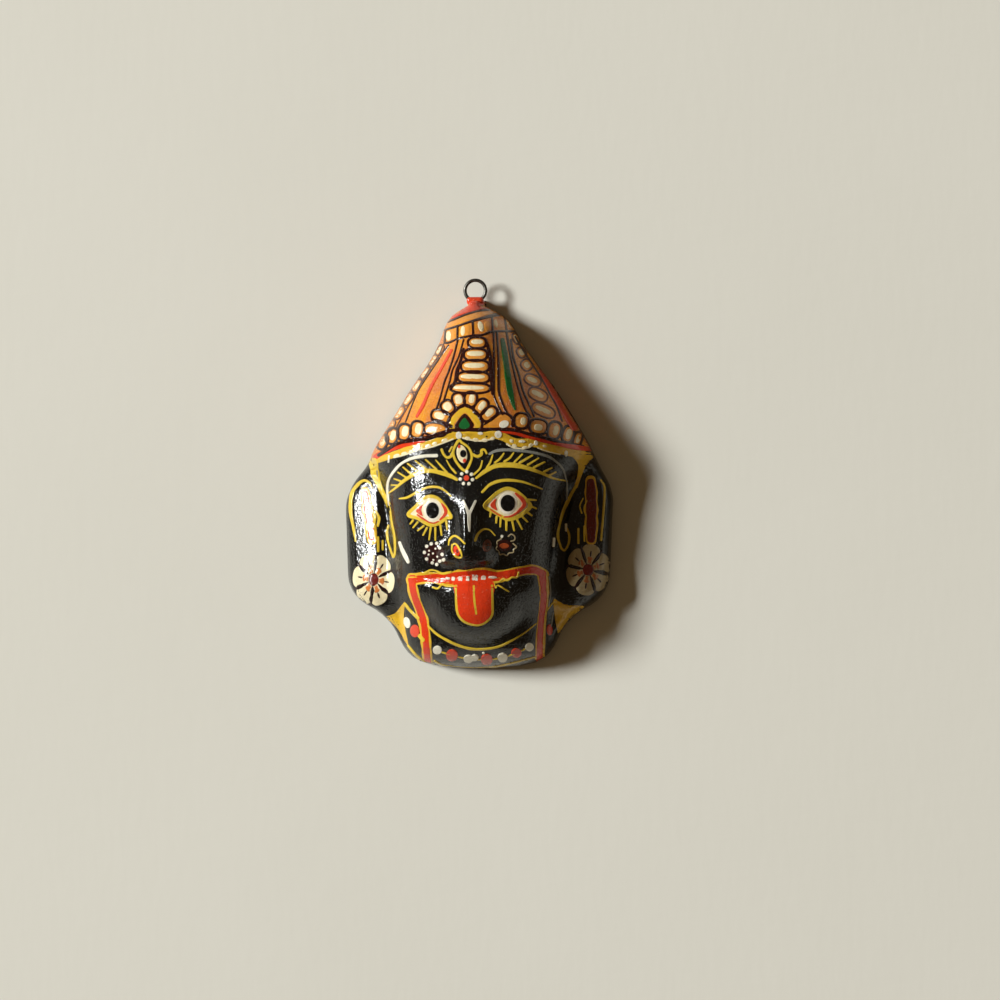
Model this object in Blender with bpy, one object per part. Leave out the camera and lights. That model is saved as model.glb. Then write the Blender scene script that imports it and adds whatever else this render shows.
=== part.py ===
"""A small papier-mache mask of a crowned face with its tongue out, hung by a wire eye in its tip.

It lies on its open, flat back: +Z is out of the face, +Y towards the tip of the crown, and the origin is
on the plane of the back, in the middle of the whole length and width. Two pieces: the moulded shell and
the wire eye. The broad form and the carving are shares of the mask's own height, width and depth.
"""

import math

import bmesh
import bpy
import numpy as np
from mathutils import Vector
from mathutils.geometry import interpolate_bezier

# Driving dimensions, in metres
MASK_HEIGHT = 0.0946
MASK_WIDTH = 0.0690
MASK_DEPTH = 0.0310
WALL = 0.0025
SOLID_TIP = 0.0115
WIRE_DIAMETER = 0.0009
EYE_DIAMETER = 0.0062
EYE_RISE = 0.0045
EYE_SINK = 0.0008
LEG_LENGTH = 0.0050
LEG_GAP = 0.00015
SOCKET_CLEARANCE = 0.0003

# Places that follow from them
HALF_WIDTH = MASK_WIDTH / 2
BOTTOM_Y = -(MASK_HEIGHT + EYE_DIAMETER - EYE_SINK) / 2
TIP_Y = BOTTOM_Y + MASK_HEIGHT
WIRE_RADIUS = WIRE_DIAMETER / 2
BEND_RADIUS = EYE_DIAMETER / 2 - WIRE_RADIUS
EYE_Y = TIP_Y + EYE_DIAMETER / 2 - EYE_SINK
LEG_X = (WIRE_DIAMETER + LEG_GAP) / 2

# Grids of the two skins: columns over the middle, columns down each side, and rows
FACE_GRID = (34, 9, 72)
HOLLOW_GRID = (16, 5, 26)
FACE_WEIGHT = 0.5
RISE_WEIGHT = 0.6
SECTION_SAMPLES = 241
PROFILE_SAMPLES = 1601

# The outline: half the width, as a share of half the mask's width, at each share of its height
OUTLINE = (
    (0.000, 0.15), (0.011, 0.38), (0.026, 0.48), (0.052, 0.55), (0.113, 0.64), (0.153, 0.75),
    (0.180, 0.87), (0.213, 0.945), (0.245, 0.975), (0.384, 0.995), (0.448, 1.00), (0.495, 0.965),
    (0.547, 0.875), (0.608, 0.79), (0.687, 0.66), (0.770, 0.515), (0.812, 0.430), (0.857, 0.350),
    (0.881, 0.308), (0.926, 0.255), (0.945, 0.222), (0.961, 0.178), (0.970, 0.135), (0.977, 0.086),
    (0.984, 0.066), (1.000, 0.060),
)
# Half the width of the crown and face alone, which the ears and the throat's webs stand outside of
BODY_WIDTH = (
    (0.000, 0.15), (0.011, 0.38), (0.026, 0.47), (0.052, 0.54), (0.150, 0.575), (0.225, 0.59),
    (0.352, 0.625), (0.427, 0.665), (0.500, 0.72), (0.545, 0.80), (0.580, 0.835), (0.608, 0.79),
    (0.687, 0.66), (0.770, 0.515), (0.812, 0.430), (0.857, 0.350), (0.881, 0.308), (0.926, 0.255),
    (0.945, 0.222), (0.961, 0.178), (0.970, 0.135), (0.977, 0.086), (0.984, 0.066), (1.000, 0.060),
)
# How far the crown leans over to the right of the face, as a share of the height
LEAN = (
    (0.000, 0.000), (0.420, 0.000), (0.500, 0.006), (0.560, 0.012), (0.660, 0.013), (0.820, 0.012),
    (0.895, 0.005), (0.945, 0.000), (0.970, -0.004), (1.000, -0.005),
)
# Height of the middle of the form, as a share of the depth
RIDGE = (
    (0.000, 0.46), (0.064, 0.53), (0.107, 0.57), (0.150, 0.61), (0.192, 0.675), (0.235, 0.745),
    (0.277, 0.765), (0.352, 0.800), (0.427, 0.835), (0.460, 0.842), (0.520, 0.824), (0.576, 0.840), (0.637, 0.865),
    (0.721, 0.815), (0.794, 0.73), (0.853, 0.645), (0.925, 0.535), (0.945, 0.470), (0.961, 0.385),
    (0.970, 0.320), (0.980, 0.275), (1.000, 0.265),
)
# How square the cross-section is: 2 is an ellipse
SQUARENESS = (
    (0.00, 2.4), (0.15, 3.0), (0.32, 3.8), (0.42, 3.7), (0.52, 2.9), (0.63, 2.4), (0.80, 2.1),
    (1.00, 2.1),
)
# Height of the ears and of the webs below them, as a share of the depth
EAR_HEIGHT = (
    (0.00, 0.14), (0.10, 0.17), (0.14, 0.19), (0.18, 0.28), (0.22, 0.335), (0.30, 0.320), (0.39, 0.295), (0.49, 0.262),
    (0.53, 0.235), (0.58, 0.19), (0.64, 0.08), (0.70, 0.00), (1.00, 0.00),
)
# The nose down its middle: how far it stands out, and half its width
NOSE_RISE = (
    (0.00, 0.00), (0.250, 0.00), (0.272, 0.036), (0.294, 0.104), (0.314, 0.155), (0.330, 0.165),
    (0.355, 0.140), (0.410, 0.090), (0.460, 0.062), (0.510, 0.035), (0.560, 0.00), (1.00, 0.00),
)
NOSE_WIDTH = ((0.00, 0.115), (0.310, 0.115), (0.360, 0.095), (0.430, 0.080), (0.490, 0.120), (0.540, 0.160), (1.00, 0.16))
# Where the carving fades out towards the outline, and where the ears, the throat and the tip round off
EDGE_SHARE = 0.16
EAR_EDGE_SHARE = 0.12
BOTTOM_SHARE = 0.085
TIP_SHARE = 0.012
# The line along an ear's ridge, how steeply the ear falls outwards, how round the left and right ones are,
# and the valley inside them
EAR_RIDGE_SHARE = 0.77
EAR_SLOPE_SHARE = 1.50
EAR_ROLLS = (0.004, 0.035)
VALLEY_SHARE = 0.86
# How full a cross-section is, and how sharply the ears meet the face
SECTION_SHARE = 0.47
MEETING_POWER = 5
EAR_EDGE_POWER = 3

# Where the ball that keeps the wall's thickness is tried: shares of its radius, and turns round it
BALL_SHARES = (0.3, 0.55, 0.75, 0.9, 0.97, 1.0)
BALL_TURNS = 16

# The eye's circle, which opens by this much each side of its foot into the two legs
OPENING = math.radians(44)
CIRCLE_STEPS = 30
KNEE_STEPS = 5


def curve_through(points):
    """A smooth curve through (place, value) points, which never swings past them."""
    places, values = np.array(points).T
    slopes = np.diff(values) / np.diff(places)
    before, after = slopes[:-1], slopes[1:]
    turns = before * after <= 0
    middle = np.where(turns, 0.0, 2 * before * after / np.where(turns, 1.0, before + after))
    tangents = np.concatenate([slopes[:1], middle, slopes[-1:]])

    def value_at(place):
        step = np.clip(np.searchsorted(places, place) - 1, 0, len(places) - 2)
        span = places[step + 1] - places[step]
        t = np.clip((place - places[step]) / span, 0, 1)
        back = 1 - t
        ends = values[step] * (1 + 2 * t) * back**2 + values[step + 1] * t**2 * (3 - 2 * t)
        return ends + span * (tangents[step] * t * back**2 - tangents[step + 1] * t**2 * back)

    return value_at


outline_at = curve_through(OUTLINE)
body_width_at = curve_through(BODY_WIDTH)
lean_at = curve_through(LEAN)
ridge_at = curve_through(RIDGE)
squareness_at = curve_through(SQUARENESS)
ear_height_at = curve_through(EAR_HEIGHT)
nose_rise_at = curve_through(NOSE_RISE)
nose_width_at = curve_through(NOSE_WIDTH)


def rounded(t, power=2):
    """0 at the edge, upright there, and 1 from a full step in: a quarter ellipse, or squarer."""
    return (1 - (1 - np.clip(t, 0, 1)) ** power) ** (1 / power)


def ramp(t, start, end):
    t = np.clip((t - start) / (end - start), 0, 1)
    return t * t * (3 - 2 * t)


def swell(u, v, place, reach):
    """1 at a place on the form, falling off softly over a reach across and along."""
    return np.exp(-(((u - place[0]) / reach[0]) ** 2) - ((v - place[1]) / reach[1]) ** 2)


def soft_lift(gap, blend):
    """How far a lower surface is raised to meet one that stands a gap above it."""
    return (gap + np.sqrt(gap**2 + blend**2)) / 2


def ear_roll(u, side, v):
    """The rounded length of an ear, with the valley between it and the face and a fuller lobe."""
    along = ramp(v, 0.15, 0.22) * (1 - ramp(v, 0.46, 0.53))
    roll = np.where(u < 0, *EAR_ROLLS) * swell(side, v, (EAR_RIDGE_SHARE, v), (0.12, 1.0))
    valley = -0.042 * swell(side, v, (0.658, v), (0.038, 1.0))
    lobe = 0.010 * swell(side, v, (0.80, 0.245), (0.13, 0.055))
    return along * (roll + valley) + lobe


def brow(side, v):
    """The ridge under an eyebrow, running in to the bridge of the nose."""
    line = 0.512 - 0.40 * (side - 0.34) ** 2 - 0.055 * swell(side, v, (0.02, v), (0.12, 1.0))
    reach = ramp(side, -0.10, 0.10) * (1 - ramp(side, 0.45, 0.66))
    return 0.020 * reach * swell(line, v, (line, line), (1.0, 0.030))


def eye(side, v):
    place = (0.287, 0.441)
    socket = swell(side, v, place, (0.21, 0.046))
    ball = swell(side, v, place, (0.135, 0.030))
    return 0.012 * ball - 0.016 * socket


def nose(side, v):
    """Rising from between the brows to a round tip, with a wing at each side of its base."""
    bridge = nose_rise_at(v) * np.exp(-((side / nose_width_at(v)) ** 2))
    wing = 0.105 * swell(side, v, (0.145, 0.309), (0.058, 0.022))
    return bridge + wing


def cheek(side, v):
    full = 0.016 * swell(side, v, (0.40, 0.345), (0.17, 0.070))
    fold = -0.022 * swell(side, v, (0.235, 0.290), (0.06, 0.040))
    return full + fold


def mouth(side, v):
    reach = 1 - ramp(side, 0.42, 0.58)
    return -0.020 * reach * swell(side, v, (side, 0.247), (1.0, 0.014))


def crown_edge(side, v):
    """The crown's lower rim stands a little proud of the forehead."""
    line = 0.636 - 0.085 * side**2
    return 0.020 * ramp(v, line - 0.012, line + 0.004) * (1 - ramp(v, line + 0.03, line + 0.12))


def chin_dome(u, v):
    """The full round chin, and how far the place is from its middle."""
    across, along = (u - 0.02) / 0.465, (v - 0.215) / 0.166
    reach = np.hypot(across, along)
    dome = 0.865 * (1 - np.clip(reach, 0, 1) ** 2.5) ** SECTION_SHARE
    return dome * ramp(v, 0.30, 0.225), reach


def height(x, y):
    """How high the outer face stands above the flat back."""
    v = (y - BOTTOM_Y) / MASK_HEIGHT
    u = (x - MASK_HEIGHT * lean_at(v)) / HALF_WIDTH
    side = np.abs(u)
    edge = outline_at(v)
    across = np.clip(side / np.minimum(body_width_at(v), edge), 0, 1)
    body = ridge_at(v) * (1 - across ** squareness_at(v)) ** SECTION_SHARE
    ears = ear_height_at(v) * (1 - EAR_SLOPE_SHARE * (side - EAR_RIDGE_SHARE))
    ears = ears * rounded((edge - side) / EAR_EDGE_SHARE, EAR_EDGE_POWER)
    form = (body**MEETING_POWER + ears**MEETING_POWER) ** (1 / MEETING_POWER)
    dome, reach = chin_dome(u, v)
    form = form + soft_lift(dome - form, 0.05) * (1 - ramp(reach, 0.85, 1.12))
    carving = ear_roll(u, side, v) + brow(side, v) + eye(side, v) + nose(side, v)
    carving = carving + cheek(side, v) + mouth(side, v) + crown_edge(side, v)
    form = form + carving * rounded((edge - side) / EDGE_SHARE)
    ends = rounded(v / BOTTOM_SHARE) * rounded((1 - v) / TIP_SHARE)
    inside = (v > 0) & (v < 1) & (side < edge)
    return np.where(inside, MASK_DEPTH * form * ends, 0.0)


def hollow_height(x, y):
    """The hollow's roof: everywhere one wall or more inside the outer face, and clear of the solid tip."""
    def pulp(px, py):
        return np.where(py < TIP_Y - SOLID_TIP + WALL, height(px, py), 0.0)

    roof = pulp(x, y) - WALL
    for share in BALL_SHARES:
        rise = WALL * math.sqrt(1 - share**2)
        for turn in range(BALL_TURNS):
            angle = math.tau * turn / BALL_TURNS
            near_x = x + WALL * share * math.cos(angle)
            near_y = y + WALL * share * math.sin(angle)
            roof = np.minimum(roof, pulp(near_x, near_y) - rise)
    return roof


def row_places(surface, rows):
    """Where the rows cross the middle line, evenly along the profile and closer on the face."""
    y = BOTTOM_Y + MASK_HEIGHT * (1 - np.cos(np.linspace(0, math.pi, PROFILE_SAMPLES))) / 2
    v = (y - BOTTOM_Y) / MASK_HEIGHT
    z = surface(MASK_HEIGHT * lean_at(v), y)
    closer = 1 + FACE_WEIGHT * ramp(v, 0.05, 0.12) * (1 - ramp(v, 0.60, 0.70))
    run = np.concatenate([[0.0], np.cumsum(np.hypot(np.diff(y), RISE_WEIGHT * np.diff(z)) * closer[1:])])
    return np.interp(np.linspace(0, run[-1], rows + 1), run, y)


def section_points(surface, y, middle, side):
    """One cross-section from edge to edge. Its columns follow the valley between the face and the ears."""
    v = (y - BOTTOM_Y) / MASK_HEIGHT
    shift = MASK_HEIGHT * float(lean_at(v))
    edge = HALF_WIDTH * float(outline_at(v))
    valley = min(HALF_WIDTH * float(body_width_at(v)), VALLEY_SHARE * edge)
    x = shift + edge * np.sin(np.linspace(-math.pi / 2, math.pi / 2, SECTION_SAMPLES))
    z = surface(x, np.full_like(x, y))
    run = np.concatenate([[0.0], np.cumsum(np.hypot(np.diff(x), np.diff(z)))])
    left, right = np.interp((shift - valley, shift + valley), x, run)
    marks = [np.linspace(0.0, left, side + 1)]
    marks.append(np.linspace(left, right, middle + 1)[1:])
    marks.append(np.linspace(right, run[-1], side + 1)[1:])
    marks = np.concatenate(marks)
    return np.interp(marks, run, x), np.interp(marks, run, z)


def skin_mesh(name, surface, grid, back_z):
    """A grid laid over a surface, and closed by one flat face at the back."""
    middle, side, rows = grid
    columns = middle + 2 * side
    row_y = row_places(surface, rows)
    sections = [section_points(surface, y, middle, side) for y in row_y]
    bm = bmesh.new()
    bmesh.ops.create_grid(bm, x_segments=columns, y_segments=rows, size=1.0)
    for vertex in bm.verts:
        column = round((vertex.co.x + 1) / 2 * columns)
        row = round((vertex.co.y + 1) / 2 * rows)
        x, z = sections[row][0][column], sections[row][1][column]
        vertex.co = (x, row_y[row], back_z if vertex.is_boundary else max(z, back_z))
    rim = [edge for edge in bm.edges if edge.is_boundary]
    bmesh.ops.contextual_create(bm, geom=rim)
    bmesh.ops.recalc_face_normals(bm, faces=bm.faces)
    if bm.calc_volume(signed=True) < 0:
        bmesh.ops.reverse_faces(bm, faces=bm.faces)
    for face in bm.faces:
        face.smooth = len(face.verts) == 4
    mesh = bpy.data.meshes.new(name)
    bm.to_mesh(mesh)
    bm.free()
    return mesh


def surface_material(name, colour, roughness, metallic):
    material = bpy.data.materials.new(name)
    material.use_nodes = True
    shader = material.node_tree.nodes["Principled BSDF"]
    shader.inputs["Base Color"].default_value = (*colour, 1.0)
    shader.inputs["Roughness"].default_value = roughness
    shader.inputs["Metallic"].default_value = metallic
    return material


def new_collection(name):
    collection = bpy.data.collections.new(name)
    bpy.context.scene.collection.children.link(collection)
    return collection


def add_object(name, mesh, collection):
    item = bpy.data.objects.new(name, mesh)
    collection.objects.link(item)
    return item


def hide_cutter(cutter):
    cutter.hide_render = True
    cutter.display_type = "WIRE"


def cut(target, cutter, name):
    modifier = target.modifiers.new(name, "BOOLEAN")
    modifier.operation = "DIFFERENCE"
    modifier.solver = "EXACT"
    modifier.object = cutter


def hollow_cutter(cutters):
    """The whole space inside the shell, open at the back."""
    mesh = skin_mesh("hollow", hollow_height, HOLLOW_GRID, -WALL)
    cutter = add_object("hollow", mesh, cutters)
    hide_cutter(cutter)
    return cutter


def socket_cutter(cutters):
    """The slot in the tip that the two legs of the wire stand in, with a clearance all round."""
    width = 2 * (LEG_X + WIRE_RADIUS + SOCKET_CLEARANCE)
    thickness = 2 * (WIRE_RADIUS + SOCKET_CLEARANCE)
    low = leg_end_y() - SOCKET_CLEARANCE
    high = TIP_Y + WALL
    bpy.ops.mesh.primitive_cube_add(size=1.0, location=(neck_x(), (low + high) / 2, EYE_RISE))
    cutter = bpy.context.object
    cutter.name = cutter.data.name = "wire_socket"
    cutter.scale = (width, high - low, thickness)
    bpy.ops.object.transform_apply(location=False, rotation=False, scale=True)
    bpy.ops.object.select_all(action="DESELECT")
    for collection in list(cutter.users_collection):
        collection.objects.unlink(cutter)
    cutters.objects.link(cutter)
    hide_cutter(cutter)
    return cutter


def leg_end_y():
    return TIP_Y - LEG_LENGTH


def neck_x():
    return MASK_HEIGHT * float(lean_at(1.0))


def eye_path():
    """Up one leg, round the eye and down the other. Below, the circle turns in to the legs."""
    start = OPENING - math.pi / 2
    sweep = math.tau - 2 * OPENING
    circle = []
    for i in range(CIRCLE_STEPS + 1):
        angle = start + sweep * i / CIRCLE_STEPS
        circle.append((BEND_RADIUS * math.cos(angle), EYE_Y + BEND_RADIUS * math.sin(angle)))
    first = Vector(circle[0])
    leg_top = Vector((LEG_X, TIP_Y - WIRE_RADIUS))
    reach = (first - leg_top).length / 2
    leaving = first + reach * Vector((math.sin(start), -math.cos(start)))
    arriving = leg_top + Vector((0, reach))
    bend = interpolate_bezier(first, leaving, arriving, leg_top, KNEE_STEPS + 1)
    knee = [tuple(point) for point in bend]
    right = [(LEG_X, leg_end_y()), (LEG_X, (leg_end_y() + leg_top.y) / 2)] + knee[:0:-1]
    left = [(-x, y) for x, y in reversed(right)]
    return [(x + neck_x(), y) for x, y in right + circle + left]


def hanging_loop(parts):
    """The steel wire eye, bent from one length, with both ends standing in the tip."""
    curve = bpy.data.curves.new("hanging_loop", "CURVE")
    curve.dimensions = "3D"
    curve.bevel_depth = WIRE_RADIUS
    curve.bevel_resolution = 2
    curve.use_fill_caps = True
    points = eye_path()
    spline = curve.splines.new("POLY")
    spline.points.add(len(points) - 1)
    for point, (x, y) in zip(spline.points, points):
        point.co = (x, y, EYE_RISE, 1.0)
    spline.use_smooth = True
    wire = add_object("hanging_loop", curve, parts)
    wire.data.materials.append(surface_material("dark_steel_wire", (0.10, 0.10, 0.095), 0.42, 1.0))
    return wire


def mask_shell(parts, cutters):
    """The moulded shell: crown, face, ears and throat in one, open at its flat back."""
    shell = add_object("mask_shell", skin_mesh("mask_shell", height, FACE_GRID, 0.0), parts)
    shell.data.materials.append(surface_material("lacquered_paint", (0.03, 0.03, 0.03), 0.25, 0.0))
    cut(shell, hollow_cutter(cutters), "hollow")
    cut(shell, socket_cutter(cutters), "socket")
    return shell


def main():
    for item in list(bpy.data.objects):
        bpy.data.objects.remove(item, do_unlink=True)
    parts = new_collection("pattachitra_mask")
    cutters = new_collection("cutters")
    mask_shell(parts, cutters)
    hanging_loop(parts)


main()
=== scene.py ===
"""Looks of the papier-mache mask: its painted and varnished shell, its wire eye, the light and the view."""

import math

import bmesh
import bpy
import numpy as np
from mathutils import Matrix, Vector
from mathutils.bvhtree import BVHTree
from mathutils.geometry import delaunay_2d_cdt
from mathutils.noise import noise as smooth_noise


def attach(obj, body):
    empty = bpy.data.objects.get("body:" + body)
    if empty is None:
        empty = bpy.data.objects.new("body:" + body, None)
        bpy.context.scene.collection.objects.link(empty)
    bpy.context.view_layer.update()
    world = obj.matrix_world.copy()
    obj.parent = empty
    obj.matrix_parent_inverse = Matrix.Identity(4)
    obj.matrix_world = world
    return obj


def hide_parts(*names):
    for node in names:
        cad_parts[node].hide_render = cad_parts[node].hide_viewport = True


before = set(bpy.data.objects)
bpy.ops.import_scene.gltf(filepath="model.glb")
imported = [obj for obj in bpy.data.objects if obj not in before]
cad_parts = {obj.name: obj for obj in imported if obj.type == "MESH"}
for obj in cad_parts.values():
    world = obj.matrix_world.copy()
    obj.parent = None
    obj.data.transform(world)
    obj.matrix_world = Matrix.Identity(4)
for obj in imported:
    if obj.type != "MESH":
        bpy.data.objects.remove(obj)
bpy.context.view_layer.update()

# The view: straight down on the face, with a slight lean to the right
PICTURE = 1000
PIXEL = 0.0002575
AIM = np.array((0.00541, -0.00676, 0.0))
VIEW_DISTANCE = 0.80
VIEW_LEAN = math.radians(6)
TO_VIEW = np.array((math.sin(VIEW_LEAN), 0.0, math.cos(VIEW_LEAN)))
ACROSS_VIEW = np.array((math.cos(VIEW_LEAN), 0.0, -math.sin(VIEW_LEAN)))
UP_VIEW = np.array((0.0, 1.0, 0.0))
VIEW_PLACE = AIM + VIEW_DISTANCE * TO_VIEW

# The fine meshes: how close points are merged, how high the rim reaches, the divisions and the sharp edges
MERGE = 0.000002
RIM_BAND = 0.00002
SHELL_LEVELS = 2
WIRE_LEVELS = 1
SHELL_EDGE_ANGLE = math.radians(50)
PAINT_EDGE_ANGLE = math.radians(60)
TOPOLOGY_INFLUENCE = 2.0

# The shell's unevenness from hand moulding: its lumps' sizes and heights, and from how far up it is full
LUMPS = ((0.0090, 0.00010), (0.0032, 0.00004))
LUMP_FADE = 0.003

# Thick paint, in millimetres: its edge's depth, its flank's width, its coats' heights and its longest face
SUNK = 0.010
FLANK = 0.07
FIRST_COAT = 0.022
NEXT_COAT = 0.0075
LONGEST_SIDE = 1.9

# The brushwork's mesh, in the picture's pixels: steps along lines and ovals, across areas and off edges
STEP = 1.0
OVAL_STEP = 1.2
FEWEST_OVAL_SIDES = 12
SPACING = 1.4
EDGE_CLEARANCE = 0.8
SAME_PLACE = 1e-5
INSIDE_ONLY = 1

# A stroke's least half width and how its width wavers, then its flank and its round end as shares of it
THINNEST_HALF = 0.62
WOBBLE = 0.07
WOBBLE_LENGTH = 6
WOBBLE_SEED = 11
WIDEST_FLANK = 0.4
END_STEPS = (0.35, 0.65, 0.85, 0.97)

# How far from the crown's line the skin keeps its distance to it, in millimetres
FIELD_REACH = 3.0

# Coats in the order they are brushed on, each with its colour
COATS = (
    ("gold", "DDAE2C"),
    ("red", "D43614"),
    ("amber", "DC9038"),
    ("cream", "EEDFB6"),
    ("milk", "F2E8D4"),
    # A dull cream for the cream marks on the shaded right side: painted shade
    ("tan", "B09E78"),
    ("shaded_blush", "A8602E"),
    # A dark blush for the right rosette's petal feet: painted shade
    ("blush", "D27C3E"),
    ("maroon", "6A1812"),
    # Maroon also paints the shade on the right ear's red strip
    ("rust", "5A2A1A"),
    ("brown", "2E0E0C"),
    ("ember", "9C4420"),
    ("green", "17602A"),
    ("crimson", "E23C18"),
    ("yellow", "DEBC3A"),
    ("black", "0A0A0B"),
    ("scarlet", "D6452A"),
    ("white", "ECE6D2"),
    # A grey for pale lines, mostly on the shaded right side, where it paints their shade
    ("faint", "8C8C84"),
)

# Where the crown's lower line runs across the picture
CROWN_LINE = (
    (360, 466), (378.8, 455), (397, 444), (413.5, 440), (427.8, 437.2), (442, 432.7), (454.3, 430),
    (472.7, 429.5), (493, 429.3), (504, 428.8), (517, 430.6), (531.4, 434.8), (546.7, 438.3),
    (562, 442.5), (582.4, 446.5), (600, 452),
)
CROWN_LINE_WIDTH = 3.6

# Brush strokes: the coat, the width or widths along it and the points it goes through, in picture pixels
CROWN_STROKES = (
    ("amber", (4, 4.4, 4.4, 4), ((447.6, 324.6), (461.8, 320.4), (477, 315.6), (493, 311.6))),
    ("brown", 2.5, ((448.0, 321.9), (461.8, 316), (476.1, 311.2), (491, 309.2))),
    ("brown", (2.2, 2.4, 2.6, 3.4, 3.6), (
        (444.6, 330.1), (457.8, 326), (472, 321.2), (492.4, 315.6), (505, 313.6))),
    ("brown", 2.4, (
        (445, 342.9), (449.6, 342.4), (457.8, 338.8), (472, 335.6), (482.2, 335), (492.4, 331.6),
        (514, 331.2))),
    ("brown", 2.2, ((445.4, 331), (444.6, 342))),
    ("brown", 2.4, ((457.6, 327), (457.4, 338.6))),
    ("brown", 2.6, ((472.6, 322), (473.2, 335))),
    ("brown", 2.6, ((492.0, 317), (492.8, 331))),
    ("brown", 2.2, ((504.4, 316), (506.6, 330.6))),
    ("brown", (2.6, 3.4, 4.2, 4, 3), (
        (463.6, 349), (460.6, 361), (457.2, 371), (455.4, 381), (450.6, 389.6))),
    ("brown", (3, 3.8, 4.4, 4, 3), (
        (486.6, 343), (489.8, 354), (491.2, 368), (491.8, 381), (492.4, 393.6))),
    ("brown", 2.4, ((493.6, 332.6), (493.8, 361), (493.6, 394))),
    ("brown", 2.6, (
        (497.0, 332.6), (498.2, 356), (498.4, 379), (499.0, 393), (503, 404.8), (507.5, 414.5))),
    ("brown", 2.0, ((493.6, 395), (497.5, 405), (502.5, 414.5))),
    ("green", (4.4, 5.6, 6.2, 5.8, 4.6, 2), (
        (502.4, 340), (505, 355), (507.2, 371), (509.8, 389), (512.4, 401), (515, 409.4))),
    ("brown", 2.4, (
        (506.6, 332.6), (510, 352.9), (514.8, 374.7), (518.5, 389.2), (524.5, 407.4), (530.6, 417))),
    ("brown", 2.4, ((510.8, 340), (513.6, 358), (518.5, 373), (522.6, 389.2), (528, 402), (534, 416))),
    ("brown", 2.2, (
        (463.6, 340), (458.8, 356.4), (452.7, 369.7), (449.6, 381.9), (445.5, 395.2), (443.6, 402))),
    ("brown", 2.2, (
        (457.8, 340.1), (453.7, 356.4), (448.6, 371.7), (444.5, 381.9), (440.4, 397.2), (436.3, 409.5))),
    ("scarlet", (2.6, 3.0, 3.4, 4.0, 2.4), (
        (451.6, 350.3), (441.4, 368.7), (431.2, 387), (423.1, 405.4), (416.9, 416.6))),
    ("brown", 1.6, (
        (448.6, 345.2), (441.4, 355.4), (431.2, 370.7), (421, 386), (413.9, 400.3), (405.7, 421.7))),
    ("rust", 1.4, (
        (444, 343.2), (439.8, 353.3), (431.6, 366), (421.4, 382.6), (414.3, 395.6), (404.2, 413),
        (396.4, 427))),
    ("scarlet", (4, 6, 8, 8), ((541, 371), (549.6, 386), (559.6, 403), (574, 427))),
    ("brown", 2.0, ((515, 337), (524, 352), (534, 367), (543, 381), (550, 394), (556.6, 406), (562, 421))),
)
CREST_STROKES = (
    ("gold", 5.6, (
        (452.6, 430), (451.6, 423.5), (456.4, 416.4), (464.6, 410), (473, 415.6), (477.6, 423.5),
        (476.6, 428.6))),
    ("brown", 3.2, (
        (448.4, 431), (447.6, 422), (453.6, 412.6), (464.6, 405), (475.8, 411.6), (482, 421.6),
        (481.4, 429))),
    ("brown", (4, 3.6, 3), ((451, 426.4), (441, 421.8), (432, 419.6))),
    ("brown", (1.6, 3, 3.4), ((484.6, 424.4), (492, 418.6), (499.4, 412.8))),
    ("brown", 3.0, ((499, 413), (506.6, 413.8), (512.2, 418.6), (512.4, 426))),
)
BORDER_STROKES = (
    ("red", (5.5, 5, 4, 2), ((372, 459), (386, 451.2), (401.2, 446.2), (424, 441.6))),
    ("red", (1.5, 3.6, 3.4, 3), ((499, 431.6), (517, 433.9), (533.5, 438.4), (556, 444))),
    ("scarlet", (3, 4.5, 5), ((556, 444), (573, 447), (592, 449.5))),
    ("gold", (5, 6, 7, 7.5, 7, 7.5, 7, 7), (
        (372, 462.5), (386, 457.4), (400, 452.4), (417.6, 447.2), (430, 443.8), (442, 440),
        (455.3, 435.6), (468.6, 435))),
    ("gold", (7, 8.5, 8, 8, 8, 9, 8, 8, 8.5, 9), (
        (468.6, 435), (482, 436.4), (493, 434.6), (503, 436.8), (512, 441.2), (522, 443), (533, 442.6),
        (545, 447.2), (562, 450.4), (582, 454))),
    ("cream", 1.6, ((394, 457.5), (404, 455), (417, 450.5), (430, 447.4), (442, 443.4), (453, 439))),
    ("cream", 1.8, ((463, 438), (472, 440), (482, 440.8), (492, 439))),
    ("cream", 2.0, ((507, 444), (513, 447.4), (521.5, 448.8), (529, 447.2), (534, 444.2))),
    ("cream", 1.2, ((538, 448), (548, 451.6), (560, 454.4))),
)
FACE_SIDE_STROKES = (
    ("yellow", (8.5, 9, 8, 6.5, 4.6, 3.6, 2.6), (
        (373.4, 462.6), (374.2, 468), (375.2, 474), (377.4, 481), (381, 489), (385.4, 497), (389, 504))),
    ("yellow", (3, 3.4, 3, 2.4, 2.2, 2.2, 2.2, 2.0, 2.0), (
        (379, 488), (385.6, 500), (389.4, 510), (391.4, 522), (394.2, 536), (395.0, 550), (393.6, 557),
        (391, 551), (387.8, 540))),
    ("yellow", (2.4, 2.8, 2), ((387.8, 540), (387.2, 532), (388.4, 525.5))),
    ("yellow", (3, 3.4, 3, 2.4, 2.4, 2.2), (
        (575.6, 486), (568.4, 500), (563, 512), (559.5, 525), (557.8, 536), (561, 548))),
    ("yellow", 2.2, ((561, 548), (564.5, 550.4), (568.4, 544), (569.2, 535.7), (567, 528.6))),
    # This white stroke down the left cheek's edge is a painted highlight, the window's glint on the cheek's
    # sharp turn
    ("white", (2.5, 4, 4, 3), ((399.6, 542.5), (402.4, 550), (405.6, 556.5), (408.4, 562))),
    ("white", 2.4, ((566, 524.5), (566.2, 530.6))),
    ("white", 2.6, ((554, 538.5), (553.6, 546))),
    ("white", 1.8, ((389.2, 456), (388.6, 462))),
    ("faint", (2, 1.6), ((377.4, 471), (377.8, 476.5))),
)
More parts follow.
